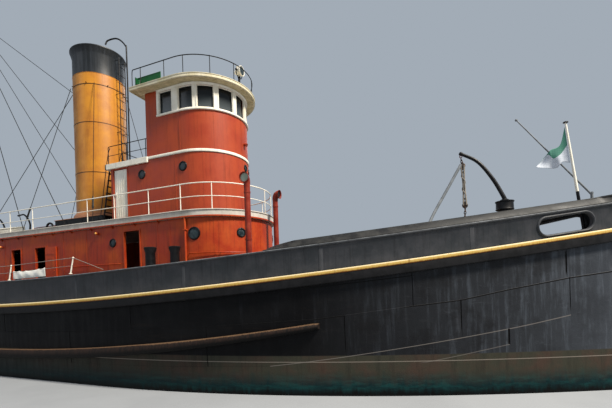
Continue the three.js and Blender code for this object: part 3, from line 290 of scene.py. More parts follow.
def dress(node, look):
    """Paints a CAD node and smooths its round faces: its triangles are welded, then split at sharp edges."""
    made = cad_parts[node]
    made.data.materials.clear()
    made.data.materials.append(LOOKS[look])
    made.data.polygons.foreach_set("use_smooth", [True] * len(made.data.polygons))
    weld = made.modifiers.new("weld", "WELD")
    weld.merge_threshold = 0.00002
    split = made.modifiers.new("sharp_edges", "EDGE_SPLIT")
    split.split_angle = np.radians(32)


def sides_of(name):
    """The starboard and port names of a node."""
    return (name + "_starboard", name + "_port")


# Materials. Places and heights in their patterns are metres of the model.


def put(material, kind, sockets=None, **settings):
    """Adds a shader node with its settings; each socket takes a value or another node's output."""
    made = material.node_tree.nodes.new("ShaderNode" + kind)
    for key, value in settings.items():
        setattr(made, key, value)
    for key, value in (sockets or {}).items():
        if isinstance(value, bpy.types.NodeSocket):
            material.node_tree.links.new(value, made.inputs[key])
        elif isinstance(value, str):
            made.inputs[key].default_value = linear(value)
        elif isinstance(value, Color):
            made.inputs[key].default_value = (*value, 1.0)
        else:
            made.inputs[key].default_value = value
    return made


def blank(name):
    """A new material whose nodes are only the place on the object, in metres of the model."""
    material = bpy.data.materials.new(name)
    material.use_nodes = True
    material.node_tree.nodes.clear()
    return material, put(material, "TexCoord").outputs["Object"]


def patches(material, size, stretch=(1, 1, 1), detail=5.0, rough=0.6):
    """Cloudy patches some millimetres of the ship across, drawn out along the axes by the stretch."""
    place = material.node_tree.nodes[0].outputs["Object"]
    drawn = put(material, "Mapping", {"Vector": place, "Scale": tuple(1 / s for s in stretch)}).outputs[0]
    sockets = {"Vector": drawn, "Scale": 1 / (size * SCALE), "Detail": detail, "Roughness": rough}
    return put(material, "TexNoise", sockets).outputs[0]


def laid_over(material, under, over, where, low, high, most=1.0):
    """One finish laid over another where a pattern rises from low to high, never thicker than most."""
    share = put(material, "MapRange", {0: where, 1: low, 2: high, 4: most}).outputs[0]
    return put(material, "Mix", {0: share, 6: under, 7: over}, data_type="RGBA").outputs[2]


def layered(material, colour, *coats):
    """A first colour under coats laid over it in turn, each as (colour, where, low, high, most)."""
    for coat in coats:
        colour = laid_over(material, colour, *coat)
    return colour


def surfaced(material, colour, gloss, height, depth, **look):
    """Joins colour, a gloss pattern with two roughnesses, and a relief of some millimetres of the ship."""
    where, smooth, dull = gloss
    rough = put(material, "MapRange", {0: where, 1: 0.35, 2: 0.7, 3: smooth, 4: dull}).outputs[0]
    bump = put(material, "Bump", {"Strength": 0.6, "Distance": depth * SCALE, "Height": height}).outputs[0]
    sockets = {"Base Color": colour, "Roughness": rough, "Normal": bump, **look}
    put(material, "OutputMaterial", {"Surface": put(material, "BsdfPrincipled", sockets).outputs[0]})
    return material


# Chalked paint mirrors far less than fresh gloss
CHALKED = {"Specular IOR Level": 0.2}


def weathered(name, colour, wear_and_highlight, rust=0.3, streaks=0.3, roughness=0.5, size=450, streak="#3a2a22"):
    """Oil paint on steel plate: faded in patches by sun, streaked by rain, with rust where it has lifted."""
    material, _ = blank(name)
    sun = patches(material, size, detail=4.0)
    rain = patches(material, 90, (1, 1, 14), rough=0.65)
    pits = patches(material, 150, detail=7.0, rough=0.72)
    grit = patches(material, 12, detail=2.0)
    tint = layered(material, colour, (wear_and_highlight, sun, 0.4, 0.66), (streak, rain, 0.5, 0.78, streaks))
    low, high = 0.74 - 0.16 * rust, 0.8 - 0.14 * rust
    tint = laid_over(material, tint, "#5b2f1c", pits, low, high, min(1.0, 3 * rust))
    relief = put(material, "Math", {0: pits, 1: grit}).outputs[0]
    return surfaced(material, tint, (sun, roughness - 0.08, roughness + 0.14), relief, 3.2, **CHALKED)


def hull_paint():
    """Bitumen paint on riveted plate: black aft, grey forward from chalking with a painted highlight, brown
    boot-top and teal weed below.
    """
    material, place = blank("bitumen_painted_plate")
    axes = put(material, "SeparateXYZ", {"Vector": place}).outputs
    height = axes["Z"]
    wide = patches(material, 830)
    rain = patches(material, 170, (1, 1, 11), 6.0, 0.7)
    scuff = patches(material, 220, (6, 1, 0.6), 6.0, 0.7)
    grit = patches(material, 22, detail=4.0)
    scuffed, dusty = ("#161210", scuff, 0.56, 0.72, 0.6), ("#282a2f", rain, 0.58, 0.8, 0.5)
    black = layered(material, "#050507", ("#0d0d0f", wide, 0.42, 0.66), scuffed, dusty)
    # Grey towards the bow with pale bluish streaks: partly chalked paint, partly a painted highlight on the bow
    chalk_and_highlight = layered(material, "#32353a", ("#585f68", rain, 0.5, 0.74), ("#1d1e21", wide, 0.49, 0.64, 0.75))
    chalk_and_highlight = laid_over(material, chalk_and_highlight, "#606770", scuff, 0.6, 0.76, 0.4)
    chalk_and_highlight = laid_over(material, chalk_and_highlight, "#484d55", axes["X"], 10.0, 11.6, 0.55)
    black = laid_over(material, black, chalk_and_highlight, axes["X"], 7.0, 11.6)
    boot = layered(material, "#35342b", ("#3f322a", wide, 0.44, 0.66), ("#1c1c1a", rain, 0.5, 0.78, 0.7))
    weed = laid_over(material, "#072124", "#0f3535", scuff, 0.45, 0.62)
    ragged = put(material, "MapRange", {0: rain, 1: 0.3, 2: 0.7, 3: -0.05, 4: 0.05}).outputs[0]
    lapping = put(material, "Math", {0: height, 1: ragged}).outputs[0]
    low = laid_over(material, weed, boot, lapping, 0.14, 0.36)
    low = laid_over(material, "#040707", low, lapping, 0.03, 0.12)
    low = laid_over(material, "#0b1112", low, axes["X"], -2.0, 6.5)
    chalk = put(material, "Math", {0: height, 1: 0.5, 2: 0.006}, operation="COMPARE").outputs[0]
    low = laid_over(material, low, "#9a9086", chalk, 0.0, 1.0, 0.45)
    colour = laid_over(material, low, black, height, 0.585, 0.6)
    # The seam attribute paints dark lines at laps and butts, the joints with the laps' painted shadow, and
    # where negative pale lines, a painted highlight on the laps' lit edges
    seam = put(material, "Attribute", attribute_name="seam").outputs["Fac"]
    colour = laid_over(material, colour, "#020202", seam, 0.1, 0.8)
    wear_and_highlight = put(material, "Math", {0: seam, 1: -1.0}, operation="MULTIPLY").outputs[0]
    colour = laid_over(material, colour, "#77716c", wear_and_highlight, 0.1, 0.8, 0.8)
    dents = put(material, "Math", {0: wide, 1: 4.0, 2: grit}, operation="MULTIPLY_ADD").outputs[0]
    return surfaced(material, colour, (rain, 0.5, 0.75), dents, 8, **{"Specular IOR Level": 0.12})


def deck_planks():
    """Pitch pine laid fore and aft in 150 mm planks with pitch between them, silvered by sun and salt."""
    material, place = blank("scrubbed_pitch_pine")
    laid = {"Vector": place, "Scale": 1.0, "Brick Width": 2.6, "Row Height": 150 * SCALE}
    laid |= {"Mortar Size": 6 * SCALE, "Bias": -0.1}
    laid |= {"Color1": "#74695a", "Color2": "#665c4e", "Mortar": "#1c1916"}
    planks = put(material, "TexBrick", laid, offset=0.37).outputs[0]
    grain = patches(material, 22, (16, 1, 1))
    stain = patches(material, 1200)
    colour = layered(material, planks, ("#4d453c", grain, 0.4, 0.7, 0.5), ("#312c28", stain, 0.5, 0.75, 0.6))
    return surfaced(material, colour, (stain, 0.75, 0.88), grain, 4, **CHALKED)


def funnel_paint(buff, top):
    """Heat-proof funnel enamel: buff with brown runs below each lap, a dark line under each lap that is its
    painted shadow with rust stain, and a glossier sooty top.
    """
    material, place = blank("funnel_enamel")
    height = put(material, "SeparateXYZ", {"Vector": place}).outputs["Z"]
    rain = patches(material, 140, (1, 1, 20), rough=0.7)
    wide = patches(material, 800, detail=4.0)
    spots = patches(material, 100, detail=6.0, rough=0.75)
    low = layered(material, buff, ("#a7681f", wide, 0.4, 0.65), ("#734217", rain, 0.5, 0.8, 0.45))
    low = laid_over(material, low, "#592b16", spots, 0.68, 0.76)
    low = laid_over(material, "#a87352", low, height, 3.36, 3.6)
    soot = layered(material, top, ("#30343a", rain, 0.45, 0.75), ("#111111", spots, 0.6, 0.7))
    ragged = put(material, "MapRange", {0: spots, 1: 0.3, 2: 0.7, 3: -0.004, 4: 0.004}).outputs[0]
    border = put(material, "Math", {0: height, 1: ragged}).outputs[0]
    colour = laid_over(material, low, soot, border, 6.672, 6.678)
    # A dark line just under each lap: its painted shadow, with rust stain
    for lap in (4.38, 5.53, 6.405):
        lap_shadow_line = put(material, "Math", {0: height, 1: lap, 2: 0.011}, operation="COMPARE").outputs[0]
        colour = laid_over(material, colour, "#331e0f", lap_shadow_line, 0.0, 1.0, 0.75)
    return surfaced(material, colour, (wide, 0.35, 0.5), spots, 3, **{"Specular IOR Level": 0.35})


def upness(material):
    """How far the surface faces up: the height of its normal."""
    normal = put(material, "TexCoord").outputs["Normal"]
    return put(material, "SeparateXYZ", {"Vector": normal}).outputs["Z"]


def edge_paint(yellow):
    """Yellow lining paint on a rope-worn steel edge: pale cream on upward faces as a painted highlight, brown
    on downward faces as painted shade with rust, and rusty where lines rub it.
    """
    material, _ = blank("yellow_lining_paint_with_painted_light")
    rub = patches(material, 290, (0.3, 1, 2.4), 8.0, 0.7)
    nick = patches(material, 90, (0.4, 1, 1), 4.0)
    ragged = put(material, "Math", {0: nick, 1: upness(material)}).outputs[0]
    # Upward faces pale cream, a painted highlight; downward faces brown, painted shade with rust
    colour = layered(material, "#824d1c", (yellow, ragged, 0.1, 0.42), ("#cec19e", ragged, 0.62, 0.95, 0.85))
    colour = laid_over(material, colour, "#59351b", rub, 0.6, 0.7, 0.8)
    return surfaced(material, colour, (rub, 0.5, 0.75), nick, 6, **CHALKED)


def fender_steel():
    """Rusted fender steel: nearly black with brown bloom, a pale top edge that is a painted highlight, and
    painted shade near black on its underside.
    """
    material, _ = blank("rusted_fender_steel_with_painted_light")
    along = patches(material, 240, (0.25, 1, 2.2), 8.0, 0.7)
    grit = patches(material, 70, (0.5, 1, 1), 6.0, 0.75)
    ragged = put(material, "Math", {0: grit, 1: upness(material)}).outputs[0]
    colour = layered(material, "#0a0807", ("#251711", along, 0.4, 0.6), ("#332b26", grit, 0.52, 0.7, 0.6))
    # A pale top edge, a painted highlight, then near black underneath, painted shade
    colour = laid_over(material, colour, "#68503b", ragged, 1.2, 1.45, 0.8)
    colour = laid_over(material, "#050404", colour, ragged, 0.2, 0.6)
    return surfaced(material, colour, (grit, 0.6, 0.85), grit, 8, **CHALKED)


def plate_glass():
    """Old plate glass, softly glossy: grey towards its sills as a painted reflection, black above."""
    material, place = blank("plate_glass")
    height = put(material, "SeparateXYZ", {"Vector": place}).outputs["Z"]
    wave = patches(material, 400)
    # Grey low down, a painted reflection; black above
    colour = laid_over(material, "#484e50", "#090c0d", height, 5.1, 5.38)
    return surfaced(material, colour, (wave, 0.16, 0.26), wave, 1.6, **{"Specular IOR Level": 0.3})


def port_glass():
    """Port glass with an unlit cabin behind it, blue-grey and slightly dusty."""
    material, _ = blank("port_glass")
    dust = patches(material, 120)
    colour = laid_over(material, "#162125", "#36464b", dust, 0.4, 0.7)
    return surfaced(material, colour, (dust, 0.28, 0.5), dust, 0.4, **{"Specular IOR Level": 0.3})


def cloth(name, colour, soiled, upper=None):
    """Woven cloth, its threads 30 mm of the ship apart so that they show, soft-edged in raking light."""
    material, place = blank(name)
    threads = {"Vector": place, "Scale": 1 / (30 * SCALE) / 6.28, "Distortion": 0.6}
    warp, weft = (put(material, "TexWave", threads, bands_direction=axis).outputs[1] for axis in "XZ")
    weave = put(material, "Math", {0: warp, 1: weft}).outputs[0]
    soil = patches(material, 220)
    tint = laid_over(material, colour, soiled, soil, 0.4, 0.7)
    if upper:
        grid = put(material, "SeparateXYZ", {"Vector": put(material, "UVMap").outputs[0]}).outputs
        hang = put(material, "MapRange", {0: grid["X"], 1: 0.5, 2: 0.78, 3: 0.0, 4: 0.46}).outputs[0]
        across = put(material, "Math", {0: grid["Y"], 1: hang}).outputs[0]
        tint = laid_over(material, tint, upper, across, 0.505, 0.495)
    sheen = {"Sheen Weight": 0.3, "Sheen Roughness": 0.5}
    return surfaced(material, tint, (soil, 0.82, 0.95), weave, 1, **sheen)


def metal(name, colour, tarnish, roughness, metallic=1.0, size=60):
    """Bare or dipped metal with darker tarnish in small spots and a broken gloss."""
    material, _ = blank(name)
    spots = patches(material, size, detail=6.0)
    tint = laid_over(material, colour, tarnish, spots, 0.42, 0.66)
    return surfaced(material, tint, (spots, roughness, roughness + 0.25), spots, 1.6, Metallic=metallic)


def make_materials(paint):
    """Every finish of the ship by name."""
    return {
        "hull": hull_paint(),
        # Dark grey deck-edge paint: chalky, with pale runs and brown spots
        "bulwark": weathered("grey_bulwark_paint", paint.bulwark, "#3f4044", 0.3, 0.55, 0.55, 520, "#121213"),
        # The same grey after years of lines dragged over it
        "strake": weathered("rope_worn_grey_paint", "#18191b", "#313130", 0.2, 0.5, 0.55, 380, "#101012"),
        # Black rubbing-strake paint with grey scuffs
        "rub_rail": weathered("scuffed_black_paint", "#09090b", "#17171a", 0.3, 0.5, 0.6, 260, "#030304"),
        "edge": edge_paint(paint.edge),
        "fender": fender_steel(),
        # Red-lead house paint, sun-faded to orange
        "house": weathered("red_house_paint", paint.house, "#af481a", 0.35, 0.55, 0.42, 900, "#32130d"),
        # A brighter orange red on the hooked-back middle door leaves
        "leaf": weathered("orange_door_paint", "#ae3e16", "#a23311", 0.2, 0.2, 0.42, 500, "#66210f"),
        "tower": weathered("red_tower_paint", paint.tower, "#a24324", 0.25, 0.4, 0.45, 1000, "#471b0d"),
        # Dark red oxide on the cowls and bare pipes, duller than the houses
        "vent": weathered("dark_red_vent_paint", "#732317", "#8c3523", 0.35, 0.35, 0.4, 300, "#37140d"),
        # Ship's white, yellowing, with rust weeping from its joints
        "white": weathered("white_ship_paint", paint.white, "#dfd8c6", 0.2, 0.3, 0.45, 500, "#8d7f6c"),
        # Grey-white paint on the boat deck's edge, flat with age
        "fascia": weathered("grey_white_paint", "#c1bab1", "#a8a298", 0.2, 0.35, 0.55, 700, "#827b74"),
        # Cream oil paint on the roof, baked yellow in patches
        "cream": weathered("cream_roof_paint", paint.roof, "#bbb190", 0.18, 0.35, 0.5, 450, "#7e7258"),
        # The roof's cream again under the eaves, toned for the light bounced up into them and the shade there:
        # painted light, with dark streaks
        "soffit": weathered("soffit_cream_with_painted_light", "#d0c19c", "#b3a47f", 0.4, 0.3, 0.6, 300, "#5a503c"),
        "funnel": funnel_paint(paint.funnel, "#171a1d"),
        # Gloss black enamel on iron fittings
        "black": weathered("black_iron_enamel", "#0a0a0c", "#17171a", 0.25, 0.3, 0.4, 200, "#251c17"),
        # Screens in the colours of their lights, deep and even
        "green": weathered("green_lamp_paint", "#0d4b23", "#17592d", 0.2, 0.3, 0.45, 200, "#0a2814"),
        "red": weathered("red_lamp_paint", "#8a231c", "#9a3028", 0.2, 0.3, 0.45, 200, "#4b1511"),
        # Light grey paint on handled gear, scraped darker
        "grey": weathered("light_grey_paint", "#767a7e", "#5c6165", 0.3, 0.3, 0.5, 200, "#3f3a35"),
        # Pale grey on the bulwark cap's shoulder: a painted highlight for its lit top
        "cap_highlight": weathered("cap_highlight_grey", "#595b5e", "#777a7d", 0.3, 0.5, 0.4, 300, "#242526"),
        # Pale green in a cowl's mouth, flat and sheltered
        "mouth": weathered("pale_green_paint", "#9aa596", "#879383", 0.15, 0.3, 0.5, 200, "#5c6655"),
        "glass": plate_glass(),
        "port_glass": port_glass(),
        "planks": deck_planks(),
        # Painted canvas on a wooden deck: matt, stained in wide patches
        "deck_canvas": weathered("painted_deck_canvas", "#5d5952", "#6d6860", 0.2, 0.35, 0.8, 900, "#49443f"),
        # Wool bunting, its white greyed by soot
        "flag": cloth("flag_bunting", "#c3c9d3", "#a8afb9", "#3c7a68"),
        # Bleached canvas, a little yellow where it creases
        "canvas": cloth("dodger_canvas", "#e8e6de", "#cfcbc0"),
        # Hemp gone grey-brown, without any shine
        "rope": cloth("weathered_rope", "#81796e", "#5d564c"),
        # Cast propeller bronze, brown with green in its pits
        "bronze": metal("propeller_bronze", "#81663a", "#4f4b32", 0.35),
        # Galvanised fittings, dull and spotted
        "iron": metal("tarnished_iron", "#3f3b38", "#593e2d", 0.5, 0.6),
        # Greased steel wire, nearly black with a dull shine
        "wire": metal("greased_wire", "#171616", "#272522", 0.45, 0.5),
        # Amber lamp glass, smooth and glossy
        "lamp": metal("warm_lamp_glass", "#ca9635", "#b5731b", 0.2, 0.0),
    }


# Lines of the hull, the same as the CAD's

DECK_HALF = 3980
STEM_X, STERN_X = 22500, -23200
BULWARK_TOP = 930
STRAKE_START, STRAKE_RISE = 12800, 215


def sheer(x):
    """Height of the deck at side: a parabola each way from its lowest point, steeper forward."""
    x = np.asarray(x, float)
    return 2860 + np.where(x > -2000, 2.97e-6, 1.4e-6) * (x + 2000) ** 2


def deck_half(x):
    """Half-breadth of the deck: full amidships, a power curve to the stem, a quarter ellipse to the stern."""
    x = np.asarray(x, float)
    aft = np.clip((-15700 - x) / 7500, 0, 1)
    fore = np.clip(1 - (STEM_X - x) / 15500, 0, None)
    half = np.where(x < -15700, DECK_HALF * np.sqrt(1 - aft**2), DECK_HALF * (1 - fore**1.9))
    return np.maximum(60, half)


def water_half(x):
    """Half-breadth at the waterline, on the same kind of power curve."""
    fore = np.clip(1 - (STEM_X - np.asarray(x, float)) / 15600, 0, None)
    return np.maximum(60, 3900 * (1 - fore**1.87))


def bulwark_height(x):
    """The bulwark is a little lower towards the stem."""
    return BULWARK_TOP - 0.0085 * np.maximum(0, x)


# x, keel z, z of the turn of the side, half-breadth there, flatness of floor, hollow
HULL_LINES = np.array([
    [22500, -1500, 0, 60, 1.0, 1.0],
    [22200, -1900, 0, 0, 1.0, 1.2],
    [21500, -2100, 0, 0, 1.0, 1.35],
    [20500, -2180, 0, 0, 1.05, 1.4],
    [19300, -2240, 0, 0, 1.15, 1.3],
    [18000, -2270, 0, 0, 1.3, 1.15],
    [16500, -2300, 0, 0, 1.5, 1.0],
    [15000, -2330, 0, 0, 1.8, 0.85],
    [13500, -2350, 0, 0, 2.0, 0.75],
    [12000, -2380, 0, 0, 2.3, 0.65],
    [10000, -2410, 0, 0, 2.6, 0.55],
    [7000, -2460, 0, 0, 3.0, 0.5],
    [2000, -2530, 0, 0, 3.0, 0.5],
    [-2000, -2600, 0, 3900, 3.0, 0.5],
    [-7000, -2700, 200, 3900, 2.4, 0.6],
    [-11000, -2800, 500, 3890, 1.6, 0.9],
    [-14000, -2900, 900, 3770, 1.0, 1.7],
    [-15700, -2950, 1150, 3650, 1.0, 2.5],
    [-17200, -3000, 1500, 3500, 1.0, 4.0],
    [-17350, 100, 1550, 3480, 1.0, 1.1],
    [-18300, 250, 1650, 3290, 1.0, 0.9],
    [-19450, 540, 1800, 3000, 1.0, 0.8],
    [-21003, 1100, 2050, 2420, 1.0, 0.7],
    [-22195, 1700, 2350, 1660, 1.0, 0.6],
    [-22944, 2250, 2620, 830, 1.0, 0.5],
    [-23200, 2500, 2750, 60, 1.0, 0.5],
])
ROOM_AFT, ROOM_FORE, ROOM_HALF, ROOM_FLOOR = -7000, 4500, 1900, -2000
# Landings of the side's plates as (x, share of the side's height), the lowest first
LANDINGS = (
    ((-23200, 0.13), (12900, 0.13), (17435, 0.25), (19507, 0.336), (22500, 0.46)),
    ((-23200, 0.25), (12950, 0.251), (14420, 0.291), (19970, 0.453), (21120, 0.492), (22500, 0.54)),
    (
        (-23200, 0.62), (14330, 0.623), (16950, 0.658), (18230, 0.666), (19550, 0.703),
        (21120, 0.731), (22500, 0.737),
    ),
    ((-23200, 0.88), (22500, 0.88)),
)
# Widths of the landings' edges as shares of the side's height
LANDING_WIDTHS = (0.0025, 0.0025, 0.005, 0.0045)
# Where landings show: which one, from x, to x, dark (up to 1), a joint line with the lap's painted shadow, or
# pale (down to -1), a painted highlight on the lap's lit edge
SHOWN = ((0, 17300, 19500, -0.5), (1, 12900, 21140, -0.7), (2, 14330, 15110, 0.8), (2, 16960, 22500, 0.9))
SHOWN += ((2, -23200, 14000, 0.45), (1, -23200, 12800, 0.3), (3, 14160, 16980, 0.7))
# Where butts follow each other aft, low and high plates in turn
BUTTS_AFT = (5200, 1500, -1800, -5600, -9000, -12800, -15900, -18900)
# Butts of the plates: x, lowest and highest share of the side's height, half width
BUTTS = ((21060, 0.735, 0.91, 18), (21137, 0.498, 0.731, 8), (19490, 0.336, 0.437, 22))
BUTTS += ((18250, 0.456, 0.666, 9), (16980, 0.658, 0.94, 8), (15100, 0.348, 0.628, 10))
BUTTS += ((10900, 0.25, 0.62, 8), (8100, 0.62, 0.94, 8))
BUTTS += tuple((x, 0.25, 0.62, 12) if k % 2 else (x, 0.62, 0.94, 12) for k, x in enumerate(BUTTS_AFT, 1))


def hull_stations():
    """Stations from stem to stern, close together at both ends, with pairs either side of each butt."""
    even = np.linspace(0, np.pi, 90)
    xs = (STEM_X + STERN_X) / 2 + (STEM_X - STERN_X) / 2 * np.cos(even)
    butts = [x + w * side + d for x, _, _, w in BUTTS for side in SIDES for d in (0, 6 * side)]
    ends = [x + d for _, a, b, _ in SHOWN for x in (a, b) for d in (0, 8)]
    extra = np.concatenate([butts, ends, HULL_LINES[:, 0], [ROOM_AFT, ROOM_FORE, -2000.0]])
    return np.unique(np.clip(np.concatenate([xs, extra]), STERN_X, STEM_X))[::-1]


def side_rows(xs):
    """Shares of the side's height[station, row]: four close rows at each landing, and even rows between."""
    share, marks = [np.zeros(len(xs))], [-1]
    for k, (landing, width) in enumerate(zip(LANDINGS, LANDING_WIDTHS)):
        low = share[-1]
        level = np.interp(xs, *np.array(landing, float).T)
        edge = level - width
        share += [low + (edge - 0.003 - low) * part for part in (0.33, 0.67, 1)]
        share += [edge, level, level + 0.003]
        marks += [-1, -1, -1, k, k, -1]
    share += [share[-1] + (1 - share[-1]) * part for part in (0.33, 0.67, 1)]
    marks += [-1, -1, -1]
    return np.stack(share, 1), np.array(marks)


def hull_side(xs):
    """Points of one side[station, row] and its seams: a power curve up the bottom, then straight to deck."""
    order = np.argsort(HULL_LINES[:, 0])
    known = HULL_LINES[order]
    columns = (np.interp(xs, known[:, 0], known[:, k])[:, None] for k in range(1, 6))
    keel, turn, table_half, floor, hollow = columns
    half = np.where(xs[:, None] > -2000, water_half(xs)[:, None], table_half)
    up = np.linspace(0, 1, 12)[None]
    bottom_y = np.maximum(60, half * (1 - (1 - up) ** floor) ** hollow)
    bottom_z = keel + (turn - keel) * up
    share, marks = side_rows(xs)
    side_y = half + (deck_half(xs)[:, None] - half) * share
    side_z = turn + (sheer(xs)[:, None] - turn) * share
    lines = [np.interp(xs, *np.array(landing, float).T)[:, None] + 0.003 for landing in LANDINGS]
    outer = ((share > lines[1]) & (share < lines[2])) | (share > lines[3])
    proud = np.where(outer, 14.0, 0.0)
    seam = np.zeros(share.shape)
    for k, aft, fore, strength in SHOWN:
        there = (xs[:, None] >= aft) & (xs[:, None] <= fore) & (marks == k)
        seam = np.where(there, strength, seam)
    for x, low, high, wide in BUTTS:
        there = (np.abs(xs[:, None] - x) <= wide + 1) & (share >= low - 0.001) & (share <= high + 0.001)
        seam = np.where(there, 1.0, seam)
        proud = np.where(there, proud - 12, proud)
    fine = np.clip((STEM_X - xs[:, None]) / 300, 0, 1)
    side_y = side_y + proud * fine
    y = np.hstack([bottom_y, side_y[:, 1:]])
    z = np.hstack([bottom_z, side_z[:, 1:]])
    return y, z, np.hstack([np.zeros(bottom_y.shape), seam[:, 1:]])


def make_hull():
    """Hull skin: both sides joined by a cambered deck, open where the engine room rises into the house."""
    xs = hull_stations()
    y, z, seam = hull_side(xs)
    top = deck_half(xs)[:, None]
    inner = np.minimum(ROOM_HALF, 0.6 * top)
    outer = top * 0.999
    across = np.hstack([outer - (outer - inner) * np.linspace(0, 1, 6)[None], inner * np.array([[0.5, 0.0]])])
    across = np.hstack([across, -across[:, -2::-1]])
    rise = 100 * (top / DECK_HALF) * (1 - (across / top) ** 2)
    deck_z = sheer(xs)[:, None] + rise
    ring_y = np.hstack([-y[:, ::-1], y])
    ring_z = np.hstack([z[:, ::-1], z])
    ring_x = np.broadcast_to(xs[:, None], ring_y.shape)
    shell = surface(np.stack([ring_x, ring_y, ring_z], -1))
    deck_x = np.broadcast_to(xs[:, None], across.shape)
    columns = across.shape[1]
    points, faces = surface(np.stack([deck_x, across, deck_z], -1))
    middles = (xs[:-1] + xs[1:])[:, None] / 2 + np.zeros((1, columns - 1))
    lane = np.arange(columns - 1)[None]
    hole = (middles > ROOM_AFT) & (middles < ROOM_FORE) & (lane >= 5) & (lane < columns - 6)
    deck = (points, [face for face, gone in zip(faces, hole.ravel()) if not gone])
    skins = [outward(shell, (0, 0, 500)), outward(end_caps(ring_y, ring_z, xs), (0, 0, 500))]
    hull = piece("hull_plating", skins, "hull", ["hull"])
    ring_seam = np.hstack([seam[:, ::-1], seam]).ravel()
    values = np.zeros(len(hull.data.vertices))
    values[: len(ring_seam)] = ring_seam
    hull.data.attributes.new("seam", "FLOAT", "POINT").data.foreach_set("value", values)
    piece("main_deck_planks", [towards(deck, UP)], "planks")
    well = np.array([[ROOM_AFT, -1], [ROOM_FORE, -1], [ROOM_FORE, 1], [ROOM_AFT, 1]]) * (1, ROOM_HALF)
    coaming = sheer(well[:, 0]) + 80
    rows = [np.column_stack([well, coaming]), np.column_stack([well, np.full(4, ROOM_FLOOR)])]
    walls = surface(np.array(rows), around=True)
    floor = (rows[1], [[0, 1, 2, 3]])
    piece("engine_room_lining", [inward(walls, (-1250, 0, 0)), towards(floor, UP)], "grey")
    piece("stern_tube", [rod((-16000, 0, -1560), (-17420, 0, -1560), 210, 20)], "bronze")


def end_caps(ring_y, ring_z, xs):
    """Flat faces that close the hull at the stem and at the stern."""
    first = np.column_stack([np.full(ring_y.shape[1], xs[0]), ring_y[0], ring_z[0]])
    last = np.column_stack([np.full(ring_y.shape[1], xs[-1]), ring_y[-1], ring_z[-1]])
    count = len(first)
    return np.vstack([first, last]), [list(range(count)), list(range(count, 2 * count))]


def facing(part, wanted):
    """A part whose faces are turned, each by itself, to agree with a wanted direction at its middle."""
    vertices, faces = part
    corners = np.array([[face[0], face[1], face[len(face) // 2], face[-1]] for face in faces])
    a, b, c, d = (vertices[corners[:, k]] for k in range(4))
    normal = np.cross(c - a, d - b)
    agrees = (normal * wanted((a + b + c + d) / 4)).sum(1) >= 0
    return vertices, [face if good else face[::-1] for face, good in zip(faces, agrees)]


def outward(part, middle):
    """Faces turned away from the ship's centre plane and from the ends of its length."""
    return facing(part, lambda at: (at - (middle[0], 0, middle[2])) * (0.02, 1, 0.3))


def inward(part, middle):
    """Faces turned towards a point."""
    return facing(part, lambda at: np.asarray(middle, float) - at)


def towards(part, way):
    """Faces turned to one direction."""
    return facing(part, lambda at: np.array([way], float))


# The deck edge and what runs along it


def edge_loop(count=170):
    """The deck edge as a closed plan loop: down the starboard side, up the port side and round the stem."""
    t = np.linspace(0, np.pi, count)
    xs = (STEM_X + STERN_X) / 2 + (STEM_X - STERN_X) / 2 * np.cos(t)
    xs = np.unique(np.concatenate([xs, [20000.0, 20500.0, 21000.0, 21500.0]]))[::-1]
    nose = np.radians(np.linspace(90, -90, 7))[1:-1]
    starboard = np.column_stack([xs, -deck_half(xs)])
    port = np.column_stack([xs[::-1], deck_half(xs[::-1])])
    stem = np.column_stack([STEM_X + 60 * np.cos(nose), 60 * np.sin(nose)])
    return np.vstack([starboard, port, stem])


def plan_normals(path, loop=True):
    """Unit plan vectors square to a path."""
    ahead = unit(steps_along(path, loop))
    return np.column_stack([-ahead[:, 1], ahead[:, 0]])


def along_edge(path, section, base, loop=True):
    """A section of (out, up) corners carried along a plan path, kept to its own side of the centreline."""
    out = plan_normals(path, loop)
    if (out * path).sum() < 0:
        out = -out
    xs = np.minimum(path[:, 0], STEM_X)
    corners = section(xs)
    plan = path[:, None] + out[:, None] * corners[..., :1]
    inboard = corners[..., 0] < 0
    held = np.where(path[:, None, 1] > 0, np.maximum(plan[..., 1], 4), np.minimum(plan[..., 1], -4))
    y = np.where(inboard, held, plan[..., 1])
    z = base(xs)[:, None] + corners[..., 1]
    ends = np.array([cad_box[0][0], cad_box[1][0]]) / SCALE
    return np.stack([np.clip(plan[..., 0], ends[0] + 1, ends[1] - 1), y, z], -1)


def round_section(out, up, radius, low=-90, high=90, steps=7):
    """Corners of an arc about a point, from one angle in degrees to another."""
    angle = np.radians(np.linspace(low, high, steps))
    return [(out + radius * np.cos(a), up + radius * np.sin(a)) for a in angle]


def same_section(corners):
    """A section that doesn't change along its path."""
    return lambda xs: np.broadcast_to(np.array(corners, float), (len(xs), len(corners), 2))


def bulwark_section(xs):
    """Plate with a rounded cap rail outside its top edge."""
    inner = [(-232, -0.01), (-240, -8), (-240, -84), (-232, -90), (-66, -90)]
    corners = np.array([(0, 12), (0, -96), *round_section(8, -44, 40), *inner, (-66, 12)], float)
    corners = np.broadcast_to(corners, (len(xs), len(corners), 2)).copy()
    corners[:, 1:-1, 1] += bulwark_height(xs)[:, None]
    return corners


def cap_shoulder(xs):
    """A narrow strip on the cap rail's outer shoulder, pale as a painted highlight where its rounded top
    catches the light.
    """
    corners = same_section([*round_section(33, -20, 16, -40, 120, 5), (18, -34)])(xs).copy()
    corners[..., 1] += bulwark_height(xs)[:, None]
    return corners


FAIRLEAD_X, FAIRLEAD_Z, FAIRLEAD_LENGTH, FAIRLEAD_HEIGHT = 21080, 4780, 1580, 460


def stadium(length, height, count=56):
    """Points of a slot outline: straight top and bottom with half-round ends."""
    ring = circle(count)
    r = height / 2
    flat = length / 2 - r
    x = np.sign(ring[:, 0]) * flat * (np.abs(ring[:, 0]) > 1e-9) + r * ring[:, 0]
    return np.column_stack([x, r * ring[:, 1]])


